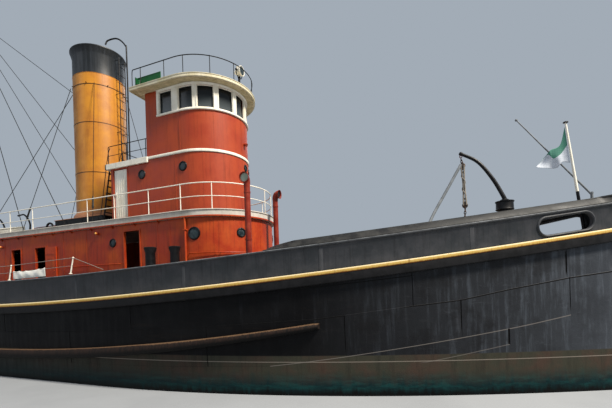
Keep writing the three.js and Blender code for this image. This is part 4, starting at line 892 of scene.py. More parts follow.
def fairlead_frame(side):
    """Origin, forward, up and outward directions of the fairlead on one side."""
    slope = (deck_half(FAIRLEAD_X + 500) - deck_half(FAIRLEAD_X - 500)) / 1000
    rise = (sheer(FAIRLEAD_X + 500) - sheer(FAIRLEAD_X - 500)) / 1000
    ahead = unit(np.array([1.0, side * slope, rise]))
    out = unit(np.array([-slope, side * 1.0, 0.0]))
    origin = np.array([FAIRLEAD_X, side * (deck_half(FAIRLEAD_X) - 45), FAIRLEAD_Z])
    return origin, ahead, np.cross(ahead, out) * side, out


def fairlead_ring(side, sections):
    """Stadium rings given as (growth, outward offset), joined into one surface that closes on itself."""
    origin, ahead, up, out = fairlead_frame(side)
    rings = []
    for grow, off in sections:
        plan = stadium(FAIRLEAD_LENGTH + 2 * grow, FAIRLEAD_HEIGHT + 2 * grow)
        rings.append(origin + plan[:, :1] * ahead + plan[:, 1:] * up + off * out)
    return np.array(rings)


def athwart_plate(outline, x, half):
    """A flat plate across the ship, from its outline of (y, z) corners and half its thickness."""
    rings = [np.column_stack([np.full(len(outline), x + w), outline]) for w in (-half, half)]
    return solid(rings)


def bulwark_stay(x):
    """A tapered stay inside the bulwark, with its foot on the deck."""
    y, z, top = deck_half(x) - 66, sheer(x) + 14, bulwark_height(x) - 92
    foot = 330 if top > 500 else 200
    return athwart_plate([(y, z), (y, z + top), (y - 70, z + top), (y - foot, z + 60), (y - foot, z)], x, 9)


def butt_strap(x):
    """A strap over a butt of the bulwark's plates."""
    xs = x + np.array([-60, -50, 50, 60.0])
    low, high = sheer(xs) + 20, sheer(xs) + bulwark_height(xs) - 96
    out = deck_half(xs) + np.array([0.0, 7, 7, 0.0])
    rows = np.array([np.column_stack([xs, out, level]) for level in (low, high)])
    return solid(np.concatenate([rows, rows[:, ::-1] - (0, 5, 0)], axis=1))


def make_bulwarks():
    """Bulwark plating with its cap, stays, butt straps and the oval fairleads near the stem."""
    path = edge_loop()
    points = along_edge(path, bulwark_section, sheer)
    wall = piece("bulwark_plating", [closed(points)], "bulwark", sides_of("bulwark"))
    through = [(0, -600), (0, 600)]
    carve(wall, [solid(fairlead_ring(side, through)) for side in SIDES])
    wall.data.materials.clear()
    wall.data.materials.append(LOOKS["bulwark"])
    wall.data.set_sharp_from_angle(angle=np.radians(35))
    shoulder = closed(along_edge(path, cap_shoulder, sheer))
    # A pale strip along the cap's lit shoulder: a painted highlight
    piece("cap_rail_painted_highlight", [shoulder], "cap_highlight")
    lip = [(0, -62), (4, 44), (14, 60), (40, 72), (66, 60), (78, 40), (84, -62), (60, -72), (16, -72)]
    rims = [closed(fairlead_ring(side, lip)) for side in SIDES]
    piece("fairlead_rims", rims, "bulwark")
    stays = [bulwark_stay(x) for x in np.arange(-21000, 21500, 1150.0) if deck_half(x) >= 1300]
    piece("bulwark_stays", mirrored(stays), "strake")
    butts = (-19200, -15600, -11700, -7600, -3300, 1100, 5600, 10200, 14500, 18600)
    piece("bulwark_butt_straps", mirrored([butt_strap(x) for x in butts]), "bulwark")


def strake_section(xs):
    """A plate that leans inboard above the cap, with a bead at its foot and its own start rounded down."""
    low = bulwark_height(xs) + 12
    full = np.clip((xs - STRAKE_START) / 900, 0.02, 1)
    top = low + STRAKE_RISE * np.sqrt(full)
    zero = np.zeros_like(low)
    corners = [(-10, low), (-14, low + 16), (-205, top - 12), (-222, top), (-292, top), (-300, top - 8)]
    corners += [(-300, top - 40), (-290, top - 40), (-110, low)]
    return np.stack([np.stack([zero + out, up], -1) for out, up in corners], 1)


def make_strake():
    """The plate that rises above the cap at the bow on both sides, joined by a small breasthook deck."""
    start = STRAKE_START + np.array([600, 400, 250, 120, 40, 0])
    xs = np.concatenate([line(STEM_X - 20, 19000, 26), line(18800, STRAKE_START + 900, 16), start])
    parts = []
    for side in SIDES:
        path = np.column_stack([xs, side * deck_half(xs)])
        parts.append(solid(along_edge(path, strake_section, sheer, loop=False)))
    nose = np.linspace(21700, 22470, 8)
    half = np.maximum(24, deck_half(nose) - 200)
    top = sheer(nose) + bulwark_height(nose) + 12 + STRAKE_RISE
    across = np.linspace(-1, 1, 7)
    deck = np.stack([nose[:, None] + 0 * across, half[:, None] * across, top[:, None] - 14 * across**2], -1)
    parts.append(solid(np.concatenate([deck, deck[:, ::-1] - (0, 0, 40)], axis=1)))
    piece("bow_strake_plating", parts, "strake", ["bow_strake"])


def make_rub_rails():
    """The main rubbing strake round the ship, thicker at its foot, with its worn yellow upper edge."""
    path = edge_loop()
    strake = [(12, 0), *round_section(85, -32, 32, 90, 0, 4)]
    strake += [*round_section(93, -350, 32, 0, -90, 4), (12, -390)]
    body = closed(along_edge(path, same_section(strake), sheer))
    piece("rubbing_strake", [body], "rub_rail", sides_of("rub_rail"))
    lip = [(40, 4), *round_section(92, -42, 44, 92, 0, 6), *round_section(92, -88, 44, 0, -90, 6), (40, -134)]
    trim = closed(along_edge(path, same_section(lip), sheer))
    piece("rubbing_strake_edge", [trim], "edge")


def side_half(x, z):
    """Half-breadth of the side at a height, straight between waterline and deck."""
    return water_half(x) + (deck_half(x) - water_half(x)) * z / sheer(x)


def make_fenders():
    """Lower fenders: a D-shaped iron strake on a parabola that climbs forward, thinner towards its ends."""
    xs = np.concatenate([[14400, 14380], np.linspace(14200, -13800, 70), [-13980, -14000]])[:, None]
    centre = 950 + np.where(xs > 0, 5.4e-6, 3e-6) * xs**2
    half = 170 - 70 * np.clip((np.abs(xs) - 8000) / 6400, 0, 1)
    shut = np.where(np.abs(xs - 200) > 14150, 0.82, 1.0)
    angle = np.radians(np.linspace(-90, 90, 9))
    reach = np.sign(np.cos(angle)) * np.abs(np.cos(angle)) ** 0.45
    z = centre + half * shut * np.sin(angle)
    wall = side_half(xs, z)
    y = wall + 12 + 218 * reach * shut
    y[:, [0, -1]] = wall[:, [0, -1]] - 40
    parts = [solid(np.stack([xs + 0 * z, side * y, z], -1)) for side in SIDES]
    piece("lower_fender_irons", parts, "fender", sides_of("lower_fender"))


# Houses with a half-round front


HOUSE = {"half": 2200, "arc_x": 8990}
TOWER = {"half": 1653, "arc_x": 8557}
ROOF = {"half": 2082, "arc_x": 8504}
DECK = {**HOUSE, "half": 2300}
# Heights of the boat deck's top and of the pilothouse roof's eaves
DECK_TOP, EAVES = 6134, 11304


def on_wall(house, arc, z, out=0.0):
    """Points on a house wall by length from its front centre, starboard negative: half circle, then flat."""
    arc, z, out = np.broadcast_arrays(np.asarray(arc, float), np.asarray(z, float), np.asarray(out, float))
    half, quarter = house["half"], house["half"] * np.pi / 2
    angle = np.clip(arc, -quarter, quarter) / half
    x = house["arc_x"] - np.maximum(np.abs(arc) - quarter, 0) + (half + out) * np.cos(angle)
    return np.stack([x, (half + out) * np.sin(angle), z], -1)


def arc_at(house, x, side=STARBOARD):
    """Length along the wall from the front centre to a place on its flat side."""
    return side * (house["half"] * np.pi / 2 + house["arc_x"] - x)


def wall_normal(house, arc):
    """Outward plan direction of a wall."""
    half = house["half"]
    angle = np.clip(arc, -half * np.pi / 2, half * np.pi / 2) / half
    return np.array([np.cos(angle), np.sin(angle), 0.0])


def ribbon(house, arcs, section):
    """A grid of points: a section of (out, height) corners at each length along a wall."""
    section = np.asarray(section, float)
    return on_wall(house, arcs[:, None], section[None, :, 1], section[None, :, 0])


def belt(house, start, end, section, step=110):
    """A section of (out, height) corners carried along a wall between two lengths."""
    arcs = np.linspace(start, end, max(3, int(abs(end - start) / step) + 2))
    return solid(ribbon(house, arcs, section))


def patch(house, start, end, low, high, inner, outer, edge=5):
    """A chamfered strip on a wall."""
    face = [(outer - edge, low), (outer, low + edge), (outer, high - edge), (outer - edge, high)]
    return belt(house, start, end, [(inner, low), *face, (inner, high)])


def porthole(house, arc, z, radius):
    """Rim and glass of a round port: a turned ring with its pane set back in it."""
    origin, axis = on_wall(house, arc, z), wall_normal(house, arc)
    ring = [(52, -10), (50, 10), (40, 26), (12, 34), (0, 26), (-4, 6), (-4, -10), (52, -10)]
    rim = lathe([(radius + r, h) for r, h in ring], origin, axis, 26)
    bolts = []
    side = np.cross(axis, (0, 0, 1))
    for a in np.radians(30 + 60 * np.arange(6)):
        centre = origin + (radius + 32) * (side * np.cos(a) + np.array([0, 0, 1]) * np.sin(a)) + axis * 20
        bolts.append(rod(centre, centre + axis * 22, 9, 6))
    pane = lathe([(0.5, 14), (radius * 0.5, 12), (radius, 4), (radius, -6), (0.5, -6)], origin, axis, 26)
    return [rim, *bolts], [pane]


def portholes(house, ports):
    """Rims and panes of ports given as (arc, height, radius)."""
    made = [porthole(house, *port) for port in ports]
    return [part for rim, _ in made for part in rim], [part for _, pane in made for part in pane]


def door_frame(house, side, aft, fore, sill, head, proud=26):
    """Half-round iron round a doorway: two jambs, a head, and a storm sill that stands out."""
    a0, a1 = arc_at(house, fore, side), arc_at(house, aft, side)
    return [
        patch(house, a0, a1, head, head + 55, -4, proud),
        patch(house, a0, a1, sill - 55, sill, -4, proud + 16),
        patch(house, a0 - side * 55, a0, sill - 55, head + 55, -4, proud),
        patch(house, a1, a1 + side * 55, sill - 55, head + 55, -4, proud),
    ]


def house_rails(side):
    """Grab rails round the deckhouse's front and along its side, on short brackets."""
    front = side * 900, side * (HOUSE["half"] * np.pi / 2 - 200)
    flank = arc_at(HOUSE, 5800, side), arc_at(HOUSE, 2700, side)
    rails = [tube(on_wall(HOUSE, np.linspace(*front, 20), 4560, 70), 17, 8)]
    rails.append(tube(on_wall(HOUSE, np.linspace(*flank, 6), 4350, 70), 17, 8))
    brackets = [(front[0], 4560), (side * 2100, 4560), (front[1], 4560)]
    brackets += [(flank[0], 4350), (arc_at(HOUSE, 4250, side), 4350), (flank[1], 4350)]
    return rails + [rod(on_wall(HOUSE, arc, z, -2), on_wall(HOUSE, arc, z, 72), 11, 6) for arc, z in brackets]


def house_pipe(side):
    """A pipe up the deckhouse's side in two clips."""
    arc = arc_at(HOUSE, 9060, side)
    clips = [patch(HOUSE, arc - 62, arc + 62, z, z + 46, -2, 108, 6) for z in (3900, 5400)]
    return [tube(on_wall(HOUSE, arc, np.linspace(3300, 5862, 8), 60), 42, 12), *clips]


def house_lamp(x, z, side):
    """A bulkhead lamp: its iron base and ring, and its glass."""
    arc = arc_at(HOUSE, x, side)
    at, out = on_wall(HOUSE, arc, z), wall_normal(HOUSE, arc)
    ring = lathe([(60, 62), (66, 70), (60, 84), (44, 84), (44, 62), (60, 62)], at, out, 16)
    glass = lathe([(43, 60), (43, 84), (40, 110), (26, 132), (1, 140)], at, out, 16)
    return [rod(at - out * 4, at + out * 60, 55, 14, 48), ring], glass


def house_foot():
    """The bar where the deckhouse stands on the cambered deck."""
    arcs = np.linspace(arc_at(HOUSE, -9480), arc_at(HOUSE, -9480, PORT), 150)
    x, y = on_wall(HOUSE, arcs, 0)[:, :2].T
    base = sheer(x) + 100 * (deck_half(x) / DECK_HALF) * (1 - (y / deck_half(x)) ** 2)
    angle = [(-2, -10), (70, -10), (70, 20), (20, 34), (14, 110), (-2, 110)]
    rings = [on_wall(HOUSE, arcs, base + up, out) for out, up in angle]
    return solid(np.stack(rings, 1))


HOUSE_DOORS = sides_of("deckhouse_door_forward") + sides_of("deckhouse_door_middle")


def make_deckhouse():
    """Main deckhouse: painted walls with their seams, ports, door frames, grab rails, lamps and pipes."""
    dress("deckhouse_walls", "house")
    for node, look in zip(HOUSE_DOORS, ("house", "house", "leaf", "leaf")):
        dress(node, look)
    ports, trim, lamps, seams = [], [], [], []
    along = [(5420, 5200, 130), (9390, 5280, 190), (-2400, 5080, 120)]
    along += [(-4200, 5060, 120), (-6000, 5060, 120), (-7800, 5080, 120)]
    doorways = ((6040, 6830, 3440, 5600), (700, 1400, 3180, 5300), (-950, -320, 3180, 5300))
    for side in SIDES:
        ports += [(arc_at(HOUSE, x, side), z, r) for x, z, r in along] + [(side * 1320, 5300, 130)]
        for doorway in doorways:
            trim += door_frame(HOUSE, side, *doorway)
        for x in (7710, 8300, 3900, 2500, -1500, -3300, -5100, -6900, -8600):
            arc = arc_at(HOUSE, x, side)
            seams.append(patch(HOUSE, arc - 34, arc + 34, sheer(x) + 130, 5850, -2, 7, 3))
        for arc in (side * 2300, side * 1150):
            seams.append(patch(HOUSE, arc - 34, arc + 34, 3560, 5850, -2, 7, 3))
        trim += house_rails(side) + house_pipe(side)
        for x, z in ((4590, 5640), (-1650, 5500)):
            iron, glass = house_lamp(x, z, side)
            trim += iron
            lamps.append(glass)
    seams.append(house_foot())
    rims, panes = portholes(HOUSE, ports)
    piece("deckhouse_port_rims", rims, "black")
    piece("deckhouse_port_glass", panes, "port_glass")
    piece("deckhouse_iron_trim", trim, "house")
    piece("deckhouse_seam_straps", seams, "house")
    piece("deckhouse_lamps", lamps, "lamp")


def make_house_doors():
    """Fittings on the deckhouse's door leaves: two ledges, a raised panel and a bar handle, on both faces."""
    for node in HOUSE_DOORS:
        (x0, y0, z0), (x1, y1, z1) = (np.array(corner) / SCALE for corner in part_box(node))
        ledges, middle = (z0 + 350, z1 - 350), (z0 + z1) / 2
        if y1 - y0 > x1 - x0:
            parts = [block((x0 - 8, y0 + 60, z), (x1 + 8, y1 - 60, z + 70), 4) for z in ledges]
            parts.append(rod((x0 - 60, y0 + 120, middle), (x1 + 60, y0 + 120, middle), 13, 8))
            parts.append(block((x0 - 5, y0 + 150, z1 - 900), (x1 + 5, y1 - 150, z1 - 480), 4))
        else:
            parts = [block((x0 + 80, y0 - 6, z), (x1 - 60, y1 + 6, z + 70), 4) for z in ledges]
            parts.append(block((x0 + 170, y0 - 5, z1 - 900), (x1 - 130, y1 + 5, z1 - 480), 4))
            parts.append(rod((x1 - 110, y0 - 40, middle), (x1 - 110, y1 + 40, middle), 13, 8))
        piece(node.replace("deckhouse_door", "door_fittings"), parts, "house", body=node + "_body")


def rail_posts(house, arcs, low, high, radius=17, ball_heights=()):
    """Round rail stanchions on feet, with forged balls where the rails pass through."""
    parts = []
    for arc in arcs:
        foot = on_wall(house, arc, low)
        parts.append(rod(foot, on_wall(house, arc, high), radius, 8))
        parts.append(lathe(flange(46, 10, radius + 4, 22), foot, sides=12))
        parts += [ball(on_wall(house, arc, z), radius * 1.55, 10) for z in ball_heights]
    return parts


def make_boat_deck():
    """Boat deck: grey-white fascia between its bead and its angle bar, canvas-covered top and brackets."""
    dress("boat_deck", "fascia")
    end = arc_at(DECK, -10490)
    bar = [(-6, 5866), (3, 5866), (6, 5872), (6, 5916), (3, 5922), (-6, 5922)]
    piece("boat_deck_angle_bar", [belt(DECK, end, -end, bar)], "house")
    bead = [(-10, 6096), *round_section(2, 6116, 26, -80, 90, 7), (-70, 6142), (-90, 6130), (-90, 6122)]
    piece("boat_deck_edge_mouldings", [belt(DECK, end, -end, bead)], "fascia")
    arcs = np.linspace(arc_at(DECK, -10480), arc_at(DECK, -10480, PORT), 140)
    rim = on_wall({**DECK, "half": 2215}, arcs, 6127)
    sheet = between(rim, rim * (1, 0, 1) + (0, 0, 26), 5)
    sheet[..., 2] = 6127 + 26 * (1 - (1 - np.linspace(0, 1, 5)[:, None]) ** 2)
    piece("boat_deck_covering", [towards(surface(sheet), UP)], "deck_canvas")
    brackets = []
    for side in SIDES:
        for x in np.arange(-9900, 8800, 1180.0):
            corners = [(2204, 5866), (2292, 5866), (2292, 5848), (2208, 5760), (2204, 5760)]
            brackets.append(athwart_plate([(side * y, z) for y, z in corners], x, 8))
    piece("boat_deck_brackets", brackets, "house")


def make_boat_deck_rail():
    """White two-bar guard rail round the boat deck's front, on stanchions."""
    rail = {**DECK, "half": 2187}
    top, middle = 7112, 6622
    aft = arc_at(rail, -2700)
    full = np.linspace(aft, -aft, 150)
    parts = [tube(on_wall(rail, full, top), 20, 10), tube(on_wall(rail, full, middle), 16, 8)]
    flat = [arc_at(rail, x) for x in (-2700, -1050, 550, 4020, 5540, 7320, 8840)]
    arcs = sorted(flat + [-a for a in flat] + [-2350, -1050, 0, 1050, 2350])
    parts += rail_posts(rail, arcs, DECK_TOP, top, 17, (top, middle))
    piece("boat_deck_guard_rails", parts, "white", ["boat_deck_rail"])


WINDOW_ARCS = (-3345, -2420, -1615, -800, 0, 800, 1615, 2420, 3345)
WINDOW_HALF, WINDOW_SILL, WINDOW_HEAD = 315, 10188, 11052


def window_work():
    """White work of the pilothouse windows: sill and head mouldings, mullions with stops, inner frames."""
    edges = [WINDOW_ARCS[0] - WINDOW_HALF - 110]
    for arc in WINDOW_ARCS:
        edges += [arc - WINDOW_HALF, arc + WINDOW_HALF]
    edges.append(WINDOW_ARCS[-1] + WINDOW_HALF + 110)
    sill = [(-4, 10098), (52, 10098), (62, 10112), (62, 10150), (40, 10176), (-4, WINDOW_SILL)]
    head = [(-4, WINDOW_HEAD), (22, WINDOW_HEAD), (26, 11060), (26, 11112)]
    head += [(52, 11126), (52, 11134), (-4, 11136)]
    parts = [belt(TOWER, edges[0], edges[-1], sill), belt(TOWER, edges[0], edges[-1], head)]
    for start, end in zip(edges[::2], edges[1::2]):
        parts.append(patch(TOWER, start - 3, end + 3, 10180, 11060, -60, 14, 4))
        middle = (start + end) / 2
        for arc in (start + 22, end - 22):
            parts.append(patch(TOWER, arc - 17, arc + 17, 10180, 11060, 8, 30, 7))
        if abs(middle) > TOWER["half"] * np.pi / 2 * 1.2:
            parts.append(patch(TOWER, middle - 20, middle + 20, 10180, 11060, 8, 26, 6))
    for arc in WINDOW_ARCS:
        for low in (WINDOW_SILL, WINDOW_HEAD - 24):
            parts.append(patch(TOWER, arc - WINDOW_HALF, arc + WINDOW_HALF, low, low + 24, -58, -8, 5))
        for at in (arc - (WINDOW_HALF - 9), arc + (WINDOW_HALF - 9)):
            parts.append(patch(TOWER, at - 9, at + 9, WINDOW_SILL, WINDOW_HEAD, -58, -8, 4))
    return parts


def tower_fittings():
    """Red work of the tower: seam straps, door frames, foot bar, and a hooded pipe end high on the front."""
    lower = (-900, -1750, 900, 1750, arc_at(TOWER, 8200), arc_at(TOWER, 8200, PORT))
    parts = [patch(TOWER, arc - 30, arc + 30, 6150, 8490, -2, 6, 3) for arc in lower]
    upper = (-1300, 0, 1300, -2700, 2700)
    parts += [patch(TOWER, arc - 30, arc + 30, 8610, 10096, -2, 6, 3) for arc in upper]
    for side in SIDES:
        parts += door_frame(TOWER, side, 4950, 5700, 6260, 8330, 20)
    foot = [(-2, DECK_TOP), (60, DECK_TOP), (60, 6150), (12, 6160), (10, 6230), (-2, 6230)]
    parts.append(belt(TOWER, arc_at(TOWER, 4810), arc_at(TOWER, 4810, PORT), foot))
    hood = on_wall(TOWER, 180, 9140)
    parts.append(rod(hood - (4, 0, 0), hood + (90, 0, 0), 60, 14))
    parts.append(rod(hood + (86, 0, 0), hood + (130, 0, -30), 64, 14, 74))
    return parts


def make_tower():
    """Upper house and pilothouse: red tower with its ports, window frames, sill and head mouldings."""
    for node in ("upper_house_walls", "pilothouse_walls", "pilothouse_door"):
        dress(node, "tower")
    dress("pilothouse_glass", "glass")
    for node in sides_of("upper_house_door"):
        dress(node, "white")
    ports = [(arc_at(TOWER, 6500), 7950, 140), (-2597, 7990, 140), (257, 8190, 100)]
    ports += [(arc_at(TOWER, 6500, PORT), 7950, 140), (2597, 7990, 140), (900, 8190, 100)]
    rims, panes = portholes(TOWER, ports)
    piece("tower_port_rims", rims, "black")
    piece("tower_port_glass", panes, "port_glass")
    piece("tower_white_mouldings", window_work(), "white")
    piece("tower_red_fittings", tower_fittings(), "tower")


def make_tower_doors():
    """Boards, lock and handle on the white upper house doors, and fittings inside the pilothouse door."""
    for node, side in zip(sides_of("upper_house_door"), SIDES):
        face = side * 1613
        parts = []
        for x in np.linspace(4972, 5678, 7)[1:-1]:
            parts.append(block((x - 5, face - side * 3, 6320), (x + 5, face + side * 8, 8270), 3))
        parts.append(block((4996, face - side * 2, 7250), (5060, face + side * 24, 7400), 6))
        parts.append(rod((5028, face, 7330), (5028, face + side * 60, 7330), 12, 8))
        parts.append(rod((5028, face + side * 52, 7330), (5130, face + side * 52, 7330), 11, 8))
        piece(node.replace("upper_house_door", "white_door_boards"), parts, "white", body=node + "_body")
    parts = [block((6826, -250, 9700), (6876, 250, 10400), 6)]
    parts.append(rod((6780, -270, 9500), (6780, -180, 9500), 12, 8))
    parts.append(rod((6832, -270, 9500), (6780, -270, 9500), 12, 8))
    piece("pilothouse_door_fittings", parts, "tower", body="pilothouse_door_body")


def make_landing():
    """The pilothouse's floor and landing: slatted top, lining below and a deep white apron."""
    outer = {**TOWER, "half": 1693}
    end = arc_at(outer, 4560)
    edge = [(-30, 8500), (-6, 8500), (0, 8512), (0, 8588), (-6, 8600), (-30, 8600)]
    rim = ribbon(outer, np.linspace(end, -end, 90), edge)
    floor, ceiling = (surface(between(rim[:45, k], rim[:45, k] * (1, -1, 1), 3)) for k in (-1, 0))
    back = surface(np.stack([line((4560, -1663, z), (4560, 1663, z), 9) for z in (8500, 8600)]))
    parts = [outward(surface(rim), (6800, 0, 8550)), towards(floor, UP)]
    parts += [towards(ceiling, DOWN), towards(back, AFT)]
    parts += [block((4564, y, 8600), (6786, y + 150, 8612), 3) for y in -1640 + 164 * np.arange(20)]
    parts.append(block((4562, -1742, 8382), (4636, 1742, 8604), 10))
    ribs = (5100, 5700, 6300, 6790)
    for side in SIDES:
        parts.append(block((4562, side * 1667, 8382), (6868, side * 1742, 8604), 10))
        parts += [block((x, side * 1665, 8372), (x + 60, side * 1744, 8392), 4) for x in ribs]
    piece("landing_platform", parts, "white", ["pilothouse_platform"])


def make_landing_rails():
    """Black two-bar rails of the landing, and the steep ladder down to the boat deck with its hand rails."""
    iron = []
    bent = [(4640, 8600), (4640, 9200), (4650, 9345), (4760, 9380), (5300, 9380), (6760, 9380)]
    for y in (-1610, 1610):
        iron.append(tube(smooth_path([(x, y, z) for x, z in bent], 40), 17, 8))
        iron.append(tube(line((4640, y, 8990), (6760, y, 8990), 3), 13, 8))
        iron += [rod((x, y, 8600), (x, y, 9380), 16, 8) for x in (5670, 6700)]
    for z, radius in ((9380, 17), (8990, 13)):
        iron.append(tube(line((4640, -860, z), (4640, 1610, z), 3), radius, 8))
    iron.append(rod((4640, -860, 8600), (4640, -860, 9392), 17, 8))
    hand = [(4640, 9370), (4500, 9050), (4250, 7900), (3970, 6500), (4060, 6250)]
    for y in (-1500, -900):
        iron.append(rod((4585, y, 8560), (4080, y, 6150), 30, 8))
        iron.append(tube(smooth_path([(x, y - 20, z) for x, z in hand], 30), 14, 8))
    for x, z in line((4585, 8560), (4080, 6150), 10)[1:-1]:
        iron.append(block((x - 70, -1500, z - 12), (x + 70, -900, z + 12), 5))
    piece("landing_rails_and_ladder", iron, "black")


def make_roof():
    """Pilothouse roof: cream eaves round a lightly cambered top, boarded below."""
    end = arc_at(ROOF, 6396)
    eaves = [(-60, 11154), (-10, 11154), (0, 11164), (0, 11210), (-12, 11220), (-12, 11262)]
    eaves += [(4, 11272), (4, 11294), (-20, 11300), (-200, EAVES)]
    rim = ribbon(ROOF, np.linspace(end, -end, 110), eaves)
    crown = between(rim[:, -1], rim[:, -1] * (1, 0, 1), 6)
    crown[..., 2] = EAVES + 50 * (1 - (1 - np.linspace(0, 1, 6)[:, None]) ** 2)
    gable = np.vstack([crown[:, 0], crown[::-1, -1]])
    foot = gable * (1, 1, 0) + (0, 0, EAVES)
    parts = [outward(surface(rim), (8000, 0, 11230)), towards(surface(crown), UP)]
    parts += [towards(surface(np.stack(rows)), AFT) for rows in ((rim[0], rim[-1]), (gable, foot))]
    piece("pilothouse_roof_shell", parts, "cream", ["pilothouse_roof"])
    boards = [towards(surface(between(rim[:, 0], rim[:, 0] * (1, 0, 1), 6)), DOWN)]
    for y in np.arange(-1980, 1981, 132.0):
        reach = ROOF["arc_x"] + np.sqrt(max(0.0, 2020.0**2 - y**2))
        boards.append(block((6420, y - 3, 11143), (reach, y + 3, 11157), 2))
    boards.append(block((6396, -2060, 11128), (6446, 2060, 11158), 6))
    piece("roof_soffit_boards", boards, "soffit")


def make_roof_rail():
    """Black guard rail round the roof's front, turned down at its after ends."""
    rail, top = {**ROOF, "half": 1980}, 12002
    aft = arc_at(rail, 6551)
    top_rail = on_wall(rail, np.linspace(aft + 1, -aft - 1, 120), top)
    bend = ((0, 0), (-50, -25), (-70, -220), (-70, -692))
    down = smooth_path([top_rail[0] + (x, 0, z) for x, z in bend], 16)
    parts = [tube(top_rail, 18, 8), tube(down, 16, 8), tube(down * (1, -1, 1), 16, 8)]
    posts = [-4700, -3534, -2677, -1678, -706, 706, 1678, 2677, 3534, 4700]
    parts += rail_posts(rail, posts, EAVES + 2, top, 15, (top,))
    piece("roof_guard_rail", parts, "black", ["roof_rail"])


def make_searchlight():
    """Searchlight drum with its glass, cooling hood and hand wheel, in a fork on a post with its cable."""
    x, z = 10180, 12080
    drum = [(0.5, -150), (84, -150), (92, -144), (132, -112), (146, -100), (168, 40), (176, 44), (176, 70)]
    drum += [(196, 96), (200, 140), (190, 150), (178, 146), (170, 118), (0.5, 96)]
    lamp = [lathe(drum, (x, 0, z), (1, 0, 0), 32)]
    lamp.append(rod((x - 40, 0, z + 150), (x - 40, 0, z + 196), 60, 18, 52))
    lamp.append(rod((x - 40, 0, z + 190), (x - 40, 0, z + 204), 74, 18, 70))
    lamp.append(rod((x - 196, 0, z), (x - 146, 0, z), 14, 8))
    rim = np.insert(56 * circle(20), 0, 0, axis=1) + (x - 192, 0, z)
    lamp.append(tube(rim, 8, 6, loop=True))
    for a in (0.5, 2.6, 4.7):
        lamp.append(rod((x - 192, 0, z), (x - 192, 56 * np.cos(a), z + 56 * np.sin(a)), 5, 5))
    piece("searchlight_drum", lamp, "white", ["searchlight"], body="searchlight_body")
    fork = [rod((x, 0, 11826), (x, 0, 11870), 60, 14)]
    for side in SIDES:
        bow = [(x, side * 212, z), (x, side * 206, 11940), (x, side * 110, 11842), (x, 0, 11838)]
        fork.append(tube(smooth_path(bow, 16), 17, 8))
        fork.append(rod((x, side * 150, z), (x, side * 236, z), 26, 10))
        fork.append(rod((x, side * 214, z), (x, side * 232, z), 44, 12))
    piece("searchlight_fork", fork, "black", body="searchlight_body")
    lens = [(0.5, 108), (120, 114), (171, 126), (171, 132), (120, 138), (0.5, 144)]
    piece("searchlight_glass", [lathe(lens, (x, 0, z), (1, 0, 0), 28)], "port_glass", body="searchlight_body")
    post = [rod((x, 0, 11290), (x, 0, 11818), 45, 14)]
    post.append(lathe(flange(110, 16, 52, 34), (x, 0, 11350), sides=16))
    cable = [(x - 60, 60, 11356), (x - 90, 80, 11600), (x - 76, 76, 11800)]
    post.append(tube(smooth_path(cable, 14), 12, 6))
    piece("searchlight_post", post, "black")


def make_sidelights():
    """Sidelight boards in their lamp's colour: a long screen with its wing, shelf, capping and lantern."""
    lantern = [(0.5, 0), (62, 0), (62, 40), (50, 60), (50, 190), (62, 200), (50, 250), (18, 280), (0.5, 284)]
    for name, side, look in zip(sides_of("sidelight"), SIDES, ("green", "red")):
        y = side * 1790
        parts = [block((6550, y - 14, 11312), (7750, y + 14, 11742), 8)]
        parts.append(block((6550, y, 11312), (6586, y + side * 118, 11742), 8))
        parts.append(block((6550, y, 11312), (6900, y + side * 170, 11336), 6))
        parts.append(block((6550, y - 24, 11734), (7750, y + 24, 11750), 6))
        parts.append(lathe(lantern, (6712, y + side * 66, 11336), sides=20))
        piece(name + "_screen", parts, look, [name])


# Funnel, mast and ventilators

FUNNEL_X, FUNNEL_R, GUY_BAND = 2323, 1119, 12850
MAST_X, MAST_FOOT, MAST_HEAD = -9000, 6132, 20400


def make_funnel():
    """Funnel: plates with a soft lap at each ring, guy band, rim and inner uptake, on a flared apron."""
    r = FUNNEL_R
    profile = [(1250, 6612), (1262, 6640), (1238, 6820), (1180, 6905), (r + 8, 6960), (r + 6, 7000)]
    for z in (8800, 11100):
        profile += [(r, z - 40), (r + 9, z - 34), (r + 9, z + 34), (r, z + 40)]
    profile += [(r, 12800), (r + 16, 12812), (r + 16, 12888), (r, 12900)]
    profile += [(r, 13335), (r + 10, 13341), (r + 10, 13372), (r, 13378), (r, 14260), (r + 16, 14300)]
    profile += [(1196, 14540), (1215, 14562), (1215, 14598), (1196, 14600), (1090, 14560), (1079, 14400)]
    profile += [(1079, 6612), (1250, 6612)]
    piece("funnel_shell", [lathe(profile, (FUNNEL_X, 0, 0), sides=96)], "funnel", ["funnel"], sharp=28)
    dress("funnel_casing", "black")
    angles = np.pi / 4 * (np.arange(8) + 0.5)
    lugs = [rod(funnel_point(r + 8, a), funnel_point(r + 70, a), 18, 8) for a in angles]
    piece("funnel_guy_lugs", lugs, "black")
    plates = [(910, 4040, -1490, -1290), (910, 4040, 1290, 1490)]
    plates += [(910, 1100, -1290, 1290), (3500, 4040, -1290, 1290)]
    top = [block((aft, low, 6596), (fore, high, 6626), 10) for aft, fore, low, high in plates]
    piece("funnel_casing_top", top, "funnel")
    vents = []
    for side in SIDES:
        vents += [block((x, side * 1446, 6220), (x + 700, side * 1462, 6520), 6) for x in (1050, 2050, 3050)]
    piece("funnel_casing_vents", vents, "black")


def funnel_point(radius, angle):
    """A point at the guy band's height round the funnel, its angle measured from forward."""
    return np.array([FUNNEL_X + radius * np.cos(angle), radius * np.sin(angle), GUY_BAND])


def beside_funnel(points):
    """Points in the ladder's own frame, x away from the funnel's axis, turned to its place on the ship."""
    return turned(np.asarray(points, float), 0.1) + (FUNNEL_X, 0, 0)


